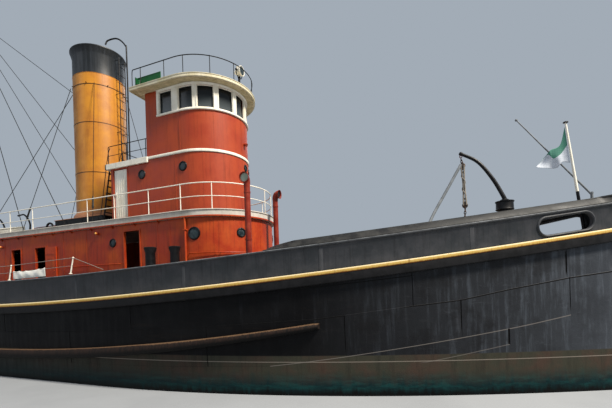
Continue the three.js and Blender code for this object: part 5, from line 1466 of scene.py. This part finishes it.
def make_funnel_ladder():
    """Ladder up the funnel's front on stand-off brackets, with the whistle's steam pipe over its top."""
    off, low, high = 1360, 6640, 14300
    iron = [tube(beside_funnel(line((off, y, low), (off, y, high), 3)), 22, 8) for y in (-190, 190)]
    for z in np.linspace(low, high, 20)[1:-1]:
        iron.append(tube(beside_funnel(line((off, -190, z), (off, 190, z))), 13, 6))
    for z in (7200, 9000, 10800, 12600, 14200):
        iron.append(tube(beside_funnel(line((off, 190, z), (off, 330, z))), 12, 6))
        for y in (-190, 190):
            iron.append(tube(beside_funnel(line((off, y, z), (FUNNEL_R - 4, y * 0.9, z))), 13, 6))
    steam = [(off, 330, 6900), (off, 330, 10800), (off, 330, 14700), (1300, 320, 15200), (960, 200, 15520)]
    steam += [(560, 40, 15420), (460, -30, 15200)]
    iron.append(tube(beside_funnel(smooth_path(steam, 60)), 36, 12))
    piece("funnel_ladder_and_pipes", iron, "black", ["funnel_ladder_and_pipe"])


def shackled(start, end, radius):
    """A wire between two points with a turnbuckle near its foot."""
    start, end = np.asarray(start, float), np.asarray(end, float)
    ahead = unit(end - start)
    middle = end - ahead * 900
    screw = tube(line(middle - ahead * 300, middle + ahead * 300, 6), [18, 44, 36, 36, 44, 18], 8)
    return [rod(start, end, radius, 6), screw]


def make_rigging():
    """Pole mast with its stays, and the guys that hold the funnel, all standing taut."""
    dress("mast", "funnel")
    dress("mast_stays", "wire")
    guys = []
    for side in SIDES:
        for x, angle in ((-3300, 150), (-400, 125), (4150, 50)):
            guys += shackled(funnel_point(1190, np.radians(angle) * side), (x, side * 2060, 6160), 13)
    piece("funnel_guys", guys, "wire")
    bands = []
    for z in (9200, 12600, 16000, 19300):
        radius = 170 - 75 * (z - MAST_FOOT) / (MAST_HEAD - MAST_FOOT)
        bands.append(lathe(collar(radius - 4, radius + 12, -36, 36), (MAST_X, 0, z), sides=20))
    bands.append(lathe(flange(260, 30, 196, 60, 168), (MAST_X, 0, DECK_TOP), sides=24))
    piece("mast_bands", bands, "black")
    lantern = [(0.5, 0), (70, 0), (76, 20), (60, 40), (60, 180), (76, 196), (50, 240), (0.5, 262)]
    lamp = [lathe(lantern, (MAST_X + 280, 0, 15200), sides=18)]
    lamp.append(block((MAST_X + 150, -60, 15160), (MAST_X + 360, 60, 15198), 6))
    piece("mast_light", lamp, "black")


# Name, x, y, heading and height of the mouth of each ventilator
COWLS = (("cowl_vent_starboard", 11900, -2600, -np.pi / 2, 6820), ("cowl_vent_centre", 11640, 0, 0.0, 6860))


def cowl_pipe(deck, mouth_z):
    """A pipe bent over into a flared mouth, rolled at its lip and lined with its own inner skin."""
    rise = [(0, -420), (0, -240), (8, -120), (60, -28), (140, 0), (196, 0)]
    bend = smooth_path([(x, 0, mouth_z + z) for x, z in rise], 22)
    path = np.vstack([line((0, 0, deck), (0, 0, mouth_z - 440), 4), bend])
    along = np.clip(np.arange(len(path)) - 5, 0, None) / (len(path) - 6)
    outer = 100 + 72 * along**1.5
    ring = hoops(path, 28)
    skin = path[:, None] + ring * outer[:, None, None]
    back = path[::-1][:14, None] + ring[::-1][:14] * (outer[::-1][:14] - 12)[:, None, None]
    lip = path[-1] + np.array([6, 0, 0]) + ring[-1] * (outer[-1] + 2)
    return solid(np.concatenate([skin, lip[None], back]))


def make_vents():
    """Slim cowl ventilators, with bands round them and a dark or painted throat."""
    for name, x, y, heading, mouth_z in COWLS:
        deck = float(sheer(x)) + 90
        parts = [cowl_pipe(deck, mouth_z)]
        for z in (deck + 30, deck + 1300, mouth_z - 460):
            parts.append(lathe(collar(98, 112, -24, 24), (0, 0, z), sides=24))
        parts.append(lathe(flange(190, 22, 112, 40, 98), (0, 0, deck - 20), sides=24))
        parts.append(lathe([(0.5, 0), (138, 0), (140, 6), (0.5, 14)], (146, 0, mouth_z), (1, 0, 0), 28))
        *pipe, throat = [(turned(vertices, heading) + (x, y, 0), faces) for vertices, faces in parts]
        piece(name + "_pipe", pipe, "vent", [name])
        piece(name + "_throat", [throat], "mouth" if y else "black")


def chain(start, end, wire, pitch):
    """Chain links: racetrack rings, each turned a quarter from the last."""
    start, end = np.asarray(start, float), np.asarray(end, float)
    count = int(np.linalg.norm(end - start) / pitch)
    ahead = unit(end - start)
    side = unit(np.cross(ahead, (0.3, 1.0, 0.1)))
    up = np.cross(ahead, side)
    ring = circle(12) * (pitch * 0.72, pitch * 0.4)
    parts = []
    for k in range(count):
        link = ring @ np.stack([ahead, side if k % 2 else up])
        parts.append(tube(start + (end - start) * (k + 0.5) / count + link, wire, 5, loop=True))
    return parts


# Place of the anchor davit's post, and x of the end of its arm
DAVIT_X, DAVIT_Y, DAVIT_END = 19550, -780, 18400


def make_anchor_davit():
    """Anchor davit: a turned pedestal in a flared foot, and the tapered arm with its shackle."""
    x, y = DAVIT_X, DAVIT_Y
    deck = float(sheer(x))
    post = [(0.5, deck - 20), (260, deck - 20), (260, deck + 40), (196, deck + 70)]
    post += [(186, 5290), (228, 5300), (252, 5318), (240, 5345), (236, 5520), (256, 5540)]
    post += [(256, 5562), (200, 5566), (90, 5566), (0.5, 5566)]
    piece("davit_pedestal_turned", [lathe(post, (x, y, 0), sides=40)], "black", ["davit_pedestal"])
    dome = [(262, -10), (330, -10), (326, 60), (292, 130), (236, 176), (190, 190), (186, 60)]
    piece("davit_foot", [lathe([(r, deck + h) for r, h in dome], (x, y, 0), sides=36)], "grey")
    bend = [(x, 5572), (x - 20, 5700), (x - 300, 6280), (x - 680, 6830), (18410, 7150)]
    arm = smooth_path([(at, y, z) for at, z in bend], 44)
    socket = [(60, 0), (132, 0), (132, 22), (96, 50), (70, 60), (60, 60), (60, 0)]
    parts = [tube(arm, np.linspace(64, 46, 44), 16), lathe(socket, (x, y, 5574), sides=28)]
    parts.append(ball((DAVIT_END, y, 7152), 60))
    piece("anchor_davit_arm", parts, "black", ["anchor_davit"], body="anchor_davit_body")
    eye = np.insert(34 * circle(18), 1, 0, axis=1) + (DAVIT_END, y, 7068)
    piece("davit_head_shackle", [tube(eye, 12, 7, loop=True)], "vent", body="anchor_davit_body")


def make_davit_tackle():
    """The anchor davit's tackle: chains, two blocks, their falls with a rope round them, and the guy."""
    y, foot = DAVIT_Y, float(sheer(DAVIT_END)) + 70
    parts = chain((DAVIT_END, y, 7015), (18420, y, 6880), 12, 66)
    for x, z in ((18436, 6780), (18474, 5560)):
        sheave = [(0.5, -34), (70, -34), (84, -20), (84, 20), (70, 34), (0.5, 34)]
        parts.append(lathe(sheave, (x, y, z), (0, 1, 0), 20))
        parts.append(block((x - 24, y - 42, z - 120), (x + 24, y + 42, z + 120), 10))
    parts += chain((18476, y, 5450), (DAVIT_END, y, foot), 13, 74)
    piece("davit_tackle_blocks", parts, "iron", ["davit_tackle"])
    falls = []
    for dx, dy in ((-46, -30), (40, -34), (-30, 34), (52, 30)):
        drop = [(18436 + dx, y + dy, 6790), (18458 + dx / 2, y + dy * 0.6, 6200), (18474 + dx, y + dy, 5560)]
        falls.append(tube(smooth_path(drop, 20), 20, 8))
    spin = np.linspace(0, 5 * np.pi, 90)
    wrap = line((18440, y, 6680), (18470, y, 5650), 90)
    wrap[:, :2] += np.column_stack([44 * np.cos(spin), 36 * np.sin(spin)])
    falls.append(tube(wrap, 19, 7))
    piece("davit_tackle_falls", falls, "rope")
    heel = np.array([17420, -1500, float(sheer(17420)) + 940])
    slack = smooth_path([(18389, y - 20, 6814), (17960, y - 240, 6020), (17590, y - 500, 5330), heel], 24)
    piece("davit_guy", [tube(slack, 44, 10)], "grey")


def make_poles():
    """Jackstaff with its step and truck, and the steering pole on its stand."""
    base, head = np.array([21690, 0, float(sheer(21690)) + 90]), np.array([21318, 0, 7860])
    split_at = base + (head - base) * 0.36
    piece("jackstaff_upper", [rod(split_at, head, 40, 16, 27)], "white", ["jackstaff"])
    truck = [(0.5, -14), (62, -14), (74, 0), (62, 18), (30, 30), (0.5, 34)]
    lower = [rod(base, split_at, 46, 16, 42), lathe(truck, head + (0, 0, 10), sides=20)]
    lower.append(lathe(flange(110, 24, 60, 60), base - (0, 0, 10), sides=20))
    piece("jackstaff_step_and_truck", lower, "black")
    heel, tip = (21930, 150, 5700), (20060, 150, 8240)
    parts = [tube(line(heel, tip, 8), np.linspace(28, 16, 8), 12), ball(tip, 40)]
    stand = float(sheer(22000) + bulwark_height(22000)) + 12 + STRAKE_RISE
    parts.append(rod((21950, 150, stand), (21950, 150, 5760), 40, 12))
    parts.append(lathe(flange(90, 16, 44, 34), (21950, 150, stand - 4), sides=16))
    parts.append(rod((21950, 90, 5716), (21950, 210, 5716), 26, 10))
    piece("steering_pole_spar", parts, "grey", ["steering_pole"])


# Cloth


def woven(name, points, u, v, look, node, thickness):
    """A sheet of cloth from a grid of points, with the grid's shares as its UV map and its real thickness."""
    made = piece(name, [surface(points)], look, [node], sharp=80)
    grid = np.stack(np.broadcast_arrays(u, v), -1).reshape(-1, 2)
    corner = np.zeros(len(made.data.loops), int)
    made.data.loops.foreach_get("vertex_index", corner)
    made.data.uv_layers.new(name="weave").data.foreach_set("uv", grid[corner].ravel())
    thick = made.modifiers.new("cloth", "SOLIDIFY")
    thick.thickness = thickness
    thick.offset = 0
    return made


def make_flag():
    """A limp two-band flag: its hoist runs down the staff, and folds deepen away from it as the fly hangs."""
    u = np.linspace(0, 1, 46)[:, None]
    v = np.linspace(0, 1, 30)[None, :]
    top = smooth_path([(21292, 7740), (21161, 7225), (20921, 7114), (20841, 7027), (20560, 6690)], 46)
    low = smooth_path([(21400, 6660), (21200, 6700), (21070, 6560), (20803, 6585), (20510, 6640)], 46)
    x = top[:, :1] * (1 - v) + low[:, :1] * v
    z = top[:, 1:] * (1 - v) + low[:, 1:] * v
    fold = 60 * np.sin(9 * u + 2.2 * v) * u + 34 * np.sin(17 * u - 1.5 * v) * u**1.5
    points = np.stack([x, fold * (0.55 + 0.45 * v), z], -1)
    flag = woven("flag_cloth", points, u, v, "flag", "flag", 0.0025)


def make_dodger():
    """Canvas dodger laced to the side rail: a sagging sheet, scalloped between its eyelets."""
    u = np.linspace(0, 1, 50)[:, None]
    v = np.linspace(0, 1, 14)[None, :]
    x = 2000 + 1880 * u + 0 * v
    base = sheer(x) + 946
    top = base + 335 - 26 * np.abs(np.sin(5 * np.pi * u)) - 40 * np.sin(np.pi * u)
    z = base * (1 - v) + top * v
    y = -3885 - 26 * np.sin(np.pi * v) * np.sin(np.pi * u) - 9 * np.sin(24 * u + 3 * v) * (1 - 0.5 * v)
    points = np.stack([x, y, z], -1)
    made = woven("canvas_dodger_sheet", points, u, v, "canvas", "canvas_dodger", 0.002)


# Fittings of the decks


def make_side_rail():
    """Leaning white stanchions on the starboard bulwark, with two wires that run down to it forward."""
    rail, wires, tops = [], [], []
    for x in (-2900, 1830, 5340):
        foot = np.array([x - 100, -3880, float(sheer(x)) + 928])
        head = np.array([x + 60, -3880, float(sheer(x)) + 1500])
        tops.append(head)
        rail.append(rod(foot, head, 26, 10, 22))
        rail.append(ball(head, 34, 10))
        rail.append(lathe(flange(60, 14, 30, 26), foot - (0, 0, 4), sides=14))
    for a, b in zip(tops[:-1], tops[1:]):
        wires.append(rod(a, b, 10, 6))
        wires.append(rod(a - (25, 0, 280), b - (25, 0, 280), 9, 6))
    wires.append(rod(tops[-1], (6900, -3905, float(sheer(6900)) + 935), 10, 6))
    piece("side_rail_stanchions", rail, "white")
    piece("side_rail_wires", wires, "rope")


def make_bollards():
    """Drum bollards in pairs: tall ones on a bed beside the deckhouse, low ones at the bow and the stern."""
    parts = []
    for side in SIDES:
        for x, r, high in ((8450, 165, 4740), (9500, 150, 4700)):
            deck = float(sheer(x)) + 20
            drum = [(0.5, deck), (r + 30, deck), (r + 10, deck + 60), (r, high - 200), (r + 40, high - 60)]
            drum += [(r + 46, high - 20), (r + 20, high), (0.5, high + 10)]
            parts.append(lathe(drum, (x, side * 3330, 0), sides=28))
        bed = float(sheer(8975))
        parts.append(block((8150, side * 3130, bed + 14), (9800, side * 3530, bed + 66), 12))
        for x, r in ((-16800, 150), (-17700, 150), (14600, 140), (15400, 140)):
            drum = [(0.5, 0), (r + 30, 0), (r, 50), (r, 620), (r + 34, 700), (r + 10, 750), (0.5, 760)]
            place = (x, side * (float(deck_half(x)) - 620), float(sheer(x)) + 20)
            parts.append(lathe(drum, place, sides=24))
    piece("mooring_bollards", parts, "black")


def make_towing_gear():
    """Caps and collars of the towing bitts, and the towing winch's bearings, ribs and laid wire."""
    caps = []
    deck = float(sheer(-14900))
    for side in SIDES:
        cap = [(0.5, 0), (206, 0), (236, 20), (236, 60), (206, 84), (0.5, 96)]
        caps.append(lathe(cap, (-14900, side * 620, deck + 1240), sides=28))
        caps.append(lathe(flange(300, 20, 226, 60, 206), (-14900, side * 620, deck + 88), sides=28))
        horn = [(0.5, 0), (124, 0), (160, 20), (160, 60), (120, 80), (0.5, 84)]
        caps.append(lathe(horn, (-14900, side * 995, deck + 850), (0, side, 0), 24))
    piece("towing_bitt_caps", caps, "black")
    x, z = -12300, float(sheer(-12300)) + 1100
    bearings = [lathe(flange(150, 60, 120, 70, 92), (x, side * 930, z), (0, side, 0), 20) for side in SIDES]
    piece("towing_winch_bearings", bearings, "black")
    ribs = []
    for c, s in circle(8):
        for side in SIDES:
            near, far = (x + c * 320, side * 866, z + s * 320), (x + c * 545, side * 842, z + s * 545)
            ribs.append(rod(near, far, 18, 6))
    turns = np.linspace(0, 2 * np.pi * 17, 680)
    lay = np.column_stack([x + 333 * np.cos(turns), np.linspace(-790, 790, 680), z + 333 * np.sin(turns)])
    ribs.append(tube(lay, 12, 5))
    piece("towing_winch_ribs", ribs, "iron", body="towing_winch_drum_body")


def make_skylight_panes():
    """Three panes on each sloping lid of the skylight, riding with it."""
    slope = np.arctan2(200, 380)
    corners = ((60, 0), (60, 400), (370, 400), (370, 0))
    for node, side in zip(sides_of("skylight_lid"), SIDES):
        lift = np.array([0, side * np.sin(slope), np.cos(slope)])
        down = np.array([0, side * np.cos(slope), -np.sin(slope)])
        ridge = np.array([0, side * 46, 6776 + 30 * np.cos(slope)])
        parts = []
        for x in (-2380, -1900, -1420):
            base = np.array([ridge + (x + fore, 0, 0) + down * below for below, fore in corners])
            parts.append(solid([base - lift * 4, base + lift * 7]))
        piece(node + "_panes", parts, "port_glass", body=node + "_body")


def make_deck_fittings():
    """The windlass's bearings and the two deck hatches with their coamings."""
    z = float(sheer(16800)) + 740
    bearings = [lathe(collar(74, 128, 0, 26), (16800, side * 656, z), (0, side, 0), 18) for side in SIDES]
    piece("windlass_bearings", bearings, "black")
    hatches = []
    for x, long, wide, high in ((14200, 600, 560, 420), (-19000, 450, 450, 380)):
        z = float(sheer(x)) + 40
        hatches.append(block((x - long, -wide, z), (x + long, wide, z + high), 14))
        lid = z + high - 20
        hatches.append(block((x - long - 40, -wide - 40, lid), (x + long + 40, wide + 40, lid + 50), 14))
    piece("deck_hatches", hatches, "strake")


BOAT_X, BOAT_Y = -8100, 1270


def lifeboat(side):
    """A lapped hull under a cover: sections widen as a sine, sheer and keel rise to the ends, planks step."""
    t = np.linspace(-1, 1, 41)[:, None]
    v = np.linspace(0, 1, 15)[None, :]
    wide = np.maximum(0.03, 1 - np.abs(t) ** 2.2)
    rail_z = 7120 + 160 * t**2
    keel_z = 6400 + 120 * t**4
    y = np.maximum(18, 790 * wide * np.sin(v * np.pi / 2) ** 0.72 - 6 * ((v * 7) % 1))
    z = keel_z + (rail_z - keel_z) * (1 - np.cos(v * np.pi / 2)) ** 0.85
    across = np.linspace(1, -1, 9)[None, 1:-1]
    ring_y = np.hstack([-y[:, ::-1], y, y[:, -1:] * across]) + side * BOAT_Y
    ring_z = np.hstack([z[:, ::-1], z, rail_z + (50 + 150 * wide) * (1 - across**2)])
    parts = [solid(np.stack([t * 2300 + BOAT_X + 0 * ring_y, ring_y, ring_z], -1))]
    for k in (1, -1):
        gunwale = np.hstack([t * 2300 + BOAT_X, side * BOAT_Y + k * (790 * wide + 8), rail_z])
        parts.append(tube(gunwale, 30, 8))
    for x in (-9200, -7000):
        parts.append(block((x - 60, side * BOAT_Y - 520, 6140), (x + 60, side * BOAT_Y + 520, 6560), 14))
    return parts


def make_boats():
    """Lifeboats on their chocks, and the bent radial davits beside them."""
    for name, side in zip(("starboard", "port"), SIDES):
        piece("lifeboat_" + name + "_planked", lifeboat(side), "white", ["lifeboat_" + name])
        for end, off in (("after", -1300), ("forward", 1300)):
            node = "boat_davit_" + end + "_" + name
            foot = np.array([BOAT_X + off, side * 2225, 0.0])
            bent = [(0, DECK_TOP), (0, 7200), (0, 7750), (-292, 8200), (-650, 8100)]
            arm = smooth_path([(0, side * y, z) for y, z in bent], 40) + foot
            parts = [tube(arm, np.linspace(58, 44, 40), 14), ball(arm[-1], 58)]
            parts.append(lathe(flange(110, 30, 70, 60, 57), foot + (0, 0, DECK_TOP + 2), sides=20))
            piece(node + "_arm", parts, "black", [node], body=node + "_body")


def make_goose_neck():
    """A black goose-neck air pipe that stands beside the funnel casing, bent right over to the deck."""
    y, radius = -1900, 215
    bend = np.linspace(0, np.pi, 18)
    path = np.column_stack([1250 + radius * np.cos(bend), np.full(18, y), 6200 + radius * np.sin(bend)])
    stand = (1250 + radius, y, DECK_TOP)
    foot = lathe([(44, 0), (92, 0), (92, 20), (44, 26), (44, 0)], stand, sides=18)
    piece("goose_neck_air_pipe", [tube(np.vstack([stand, path]), 45, 12), foot], "black")


# The nodes that stay as they are, by finish
PLAIN_NODES = {
    "grey": ["engine_block"],
    "black": ["towing_winch_frame", "towing_bitts", "windlass_frame"],
    "iron": ["towing_winch_drum", "windlass_barrel"],
    "tower": ["skylight", "skylight_lid_starboard", "skylight_lid_port"],
    "hull": ["stern_frame", "rudder"],
    "bronze": ["propeller"],
}


def make_remaining():
    """Paints every CAD node that stays as it is and has no finish of its own yet."""
    for look, nodes in PLAIN_NODES.items():
        for node in nodes:
            dress(node, look)


# The add-on


class TugboatPaint(bpy.types.PropertyGroup):
    """Paint colours that an owner would choose."""

    bulwark: bpy.props.FloatVectorProperty(
        name="Bulwark", description="Deck-edge plating", default=linear("#303337")[:3],
        subtype="COLOR", min=0, max=1,
    )
    edge: bpy.props.FloatVectorProperty(
        name="Edge line", description="Upper edge of the rubbing strake", default=linear("#c09e52")[:3],
        subtype="COLOR", min=0, max=1,
    )
    house: bpy.props.FloatVectorProperty(
        name="Deckhouse", description="Lower house walls", default=linear("#9a3217")[:3],
        subtype="COLOR", min=0, max=1,
    )
    tower: bpy.props.FloatVectorProperty(
        name="Tower", description="Upper house and pilothouse walls", default=linear("#953923")[:3],
        subtype="COLOR", min=0, max=1,
    )
    white: bpy.props.FloatVectorProperty(
        name="White work", description="Rails, bands and boats", default=linear("#e8e4d8")[:3],
        subtype="COLOR", min=0, max=1,
    )
    roof: bpy.props.FloatVectorProperty(
        name="Roof", description="Pilothouse eaves", default=linear("#cbc3ab")[:3],
        subtype="COLOR", min=0, max=1,
    )
    funnel: bpy.props.FloatVectorProperty(
        name="Funnel", description="Funnel below its black top", default=linear("#bb7c23")[:3],
        subtype="COLOR", min=0, max=1,
    )


class TugboatSizes(bpy.types.PropertyGroup):
    """Sizes that a user would change."""

    floor: bpy.props.FloatProperty(
        name="Floor", description="Width of the studio floor", default=160.0,
        min=30.0, unit="LENGTH",
    )


class TUG_OT_camera(bpy.types.Operator):
    """Places the camera where the photograph was taken"""

    bl_idname = "tug.camera"
    bl_label = "Camera"

    def execute(self, context):
        make_camera()
        return {"FINISHED"}


class TUG_OT_paint(bpy.types.Operator):
    """Mixes every paint, metal, glass and cloth of the ship"""

    bl_idname = "tug.paint"
    bl_label = "Paints"

    def execute(self, context):
        LOOKS.update(make_materials(context.scene.tugboat_paint))
        return {"FINISHED"}


class TUG_OT_hull(bpy.types.Operator):
    """Plates the hull, lays its deck and fits bulwarks, strakes and fenders"""

    bl_idname = "tug.hull"
    bl_label = "Hull"

    def execute(self, context):
        for make in (make_hull, make_bulwarks, make_strake, make_rub_rails, make_fenders):
            make()
        return {"FINISHED"}


class TUG_OT_houses(bpy.types.Operator):
    """Fits out the deckhouse, boat deck, tower, landing and roof"""

    bl_idname = "tug.houses"
    bl_label = "Houses"

    def execute(self, context):
        steps = (make_deckhouse, make_house_doors, make_boat_deck, make_boat_deck_rail, make_tower)
        steps += (make_tower_doors, make_landing, make_landing_rails, make_roof, make_roof_rail)
        steps += (make_searchlight, make_sidelights)
        for make in steps:
            make()
        return {"FINISHED"}


class TUG_OT_rig(bpy.types.Operator):
    """Rolls the funnel, sets up mast and rigging, and bends the cowl ventilators"""

    bl_idname = "tug.rig"
    bl_label = "Funnel and rig"

    def execute(self, context):
        for make in (make_funnel, make_funnel_ladder, make_rigging, make_vents):
            make()
        return {"FINISHED"}


class TUG_OT_gear(bpy.types.Operator):
    """Fits the bow gear, rail fittings, winches and boats"""

    bl_idname = "tug.gear"
    bl_label = "Gear"

    def execute(self, context):
        steps = (make_anchor_davit, make_davit_tackle, make_poles, make_side_rail, make_bollards)
        steps += (make_towing_gear, make_skylight_panes, make_deck_fittings, make_remaining)
        steps += (make_boats, make_goose_neck)
        for make in steps:
            make()
        return {"FINISHED"}


class TUG_OT_cloth(bpy.types.Operator):
    """Hangs the flag and the canvas dodger"""

    bl_idname = "tug.cloth"
    bl_label = "Flag and dodger"

    def execute(self, context):
        make_flag()
        make_dodger()
        return {"FINISHED"}


class TUG_OT_stage(bpy.types.Operator):
    """Lays a plain pale floor at the waterline and hangs soft lights"""

    bl_idname = "tug.stage"
    bl_label = "Stage"

    def execute(self, context):
        make_stage(context.scene.tugboat_sizes.floor)
        return {"FINISHED"}


class TUG_PT_tugboat(bpy.types.Panel):
    """Sidebar panel with the paints, the sizes and a button for each group of pieces"""

    bl_label = "Tugboat"
    bl_idname = "TUG_PT_tugboat"
    bl_space_type = "VIEW_3D"
    bl_region_type = "UI"
    bl_category = "Tugboat"

    def draw(self, context):
        for group in (context.scene.tugboat_paint, context.scene.tugboat_sizes):
            for name in group.__annotations__:
                self.layout.prop(group, name)
        for operator in OPERATORS:
            self.layout.operator(operator.bl_idname)


OPERATORS = (
    TUG_OT_camera,
    TUG_OT_paint,
    TUG_OT_cloth,
    TUG_OT_hull,
    TUG_OT_houses,
    TUG_OT_rig,
    TUG_OT_gear,
    TUG_OT_stage,
)
CLASSES = (TugboatPaint, TugboatSizes, *OPERATORS, TUG_PT_tugboat)


def make_camera():
    """A camera at the photograph's place: turned by its yaw, then about its line of sight by a small roll."""
    yaw, roll = np.radians(21.666), np.radians(1.852)
    ahead = np.array([-np.sin(yaw), np.cos(yaw), 0])
    level = np.array([np.cos(yaw), np.sin(yaw), 0])
    up = np.array([0.0, 0.0, 1.0])
    right = level * np.cos(roll) - up * np.sin(roll)
    top = level * np.sin(roll) + up * np.cos(roll)
    camera = placed("camera", bpy.data.cameras.new("camera"))
    # Focal length and width of the photograph in pixels, and width of the sensor in millimetres
    focal, across, sensor = 368.6, 612, 36
    camera.data.sensor_width = sensor
    camera.data.lens = focal / across * sensor
    camera.data.shift_y = 0.1303
    camera.data.clip_end = 500
    turn = Matrix(np.column_stack([right, top, -ahead]).tolist()).to_4x4()
    camera.matrix_world = Matrix.Translation((9.0225, -6.5605, 1.658)) @ turn
    bpy.context.scene.camera = camera


def make_stage(size):
    """A square floor at the waterline, a soft key light from starboard ahead, and pale fill all round."""
    corner = np.array([[-1, -1, 0], [1, -1, 0], [1, 1, 0], [-1, 1, 0]]) * size / 2
    mesh = bpy.data.meshes.new("studio_floor")
    mesh.from_pydata(corner.tolist(), [], [(0, 1, 2, 3)])
    floor = placed("studio_floor", mesh)
    paper, _ = blank("pale_studio_floor")
    haze = patches(paper, 4000)
    tint = laid_over(paper, "#8f9296", "#898c90", haze, 0.4, 0.6)
    mesh.materials.append(surfaced(paper, tint, (haze, 0.85, 0.95), haze, 1))
    for name, place, power, spread, colour in (
        ("key_light", (30, -6.5, 33), 34000, 7, (1.0, 0.93, 0.82)),
        ("fill_light", (-22, -34, 18), 1300, 18, (0.86, 0.92, 1.0)),
        ("back_light", (-6, 34, 26), 1500, 18, (0.9, 0.94, 1.0)),
    ):
        light = bpy.data.lights.new(name, "AREA")
        light.energy = power
        light.size = spread
        light.color = colour
        made = placed(name, light)
        toward = Vector((0, 0, 3)) - Vector(place)
        made.matrix_world = Matrix.Translation(place) @ toward.to_track_quat("-Z", "Y").to_matrix().to_4x4()
    world = bpy.data.worlds.new("pale_room")
    world.use_nodes = True
    world.node_tree.nodes["Background"].inputs[0].default_value = linear("#cfdbe8")
    world.node_tree.nodes["Background"].inputs[1].default_value = 0.58
    bpy.context.scene.world = world
    bpy.context.scene.view_settings.view_transform = "Standard"


def register():
    """Makes the classes and the scene's settings known to Blender."""
    for made in CLASSES:
        bpy.utils.register_class(made)
    bpy.types.Scene.tugboat_paint = bpy.props.PointerProperty(type=TugboatPaint)
    bpy.types.Scene.tugboat_sizes = bpy.props.PointerProperty(type=TugboatSizes)


def unregister():
    """Takes them away again."""
    del bpy.types.Scene.tugboat_paint
    del bpy.types.Scene.tugboat_sizes
    for made in reversed(CLASSES):
        bpy.utils.unregister_class(made)


def main():
    """Builds the whole ship and its stage."""
    register()
    bpy.ops.tug.camera()
    bpy.ops.tug.paint()
    bpy.ops.tug.cloth()
    bpy.ops.tug.hull()
    bpy.ops.tug.houses()
    bpy.ops.tug.rig()
    bpy.ops.tug.gear()
    bpy.ops.tug.stage()


if __name__ == "__main__":
    main()
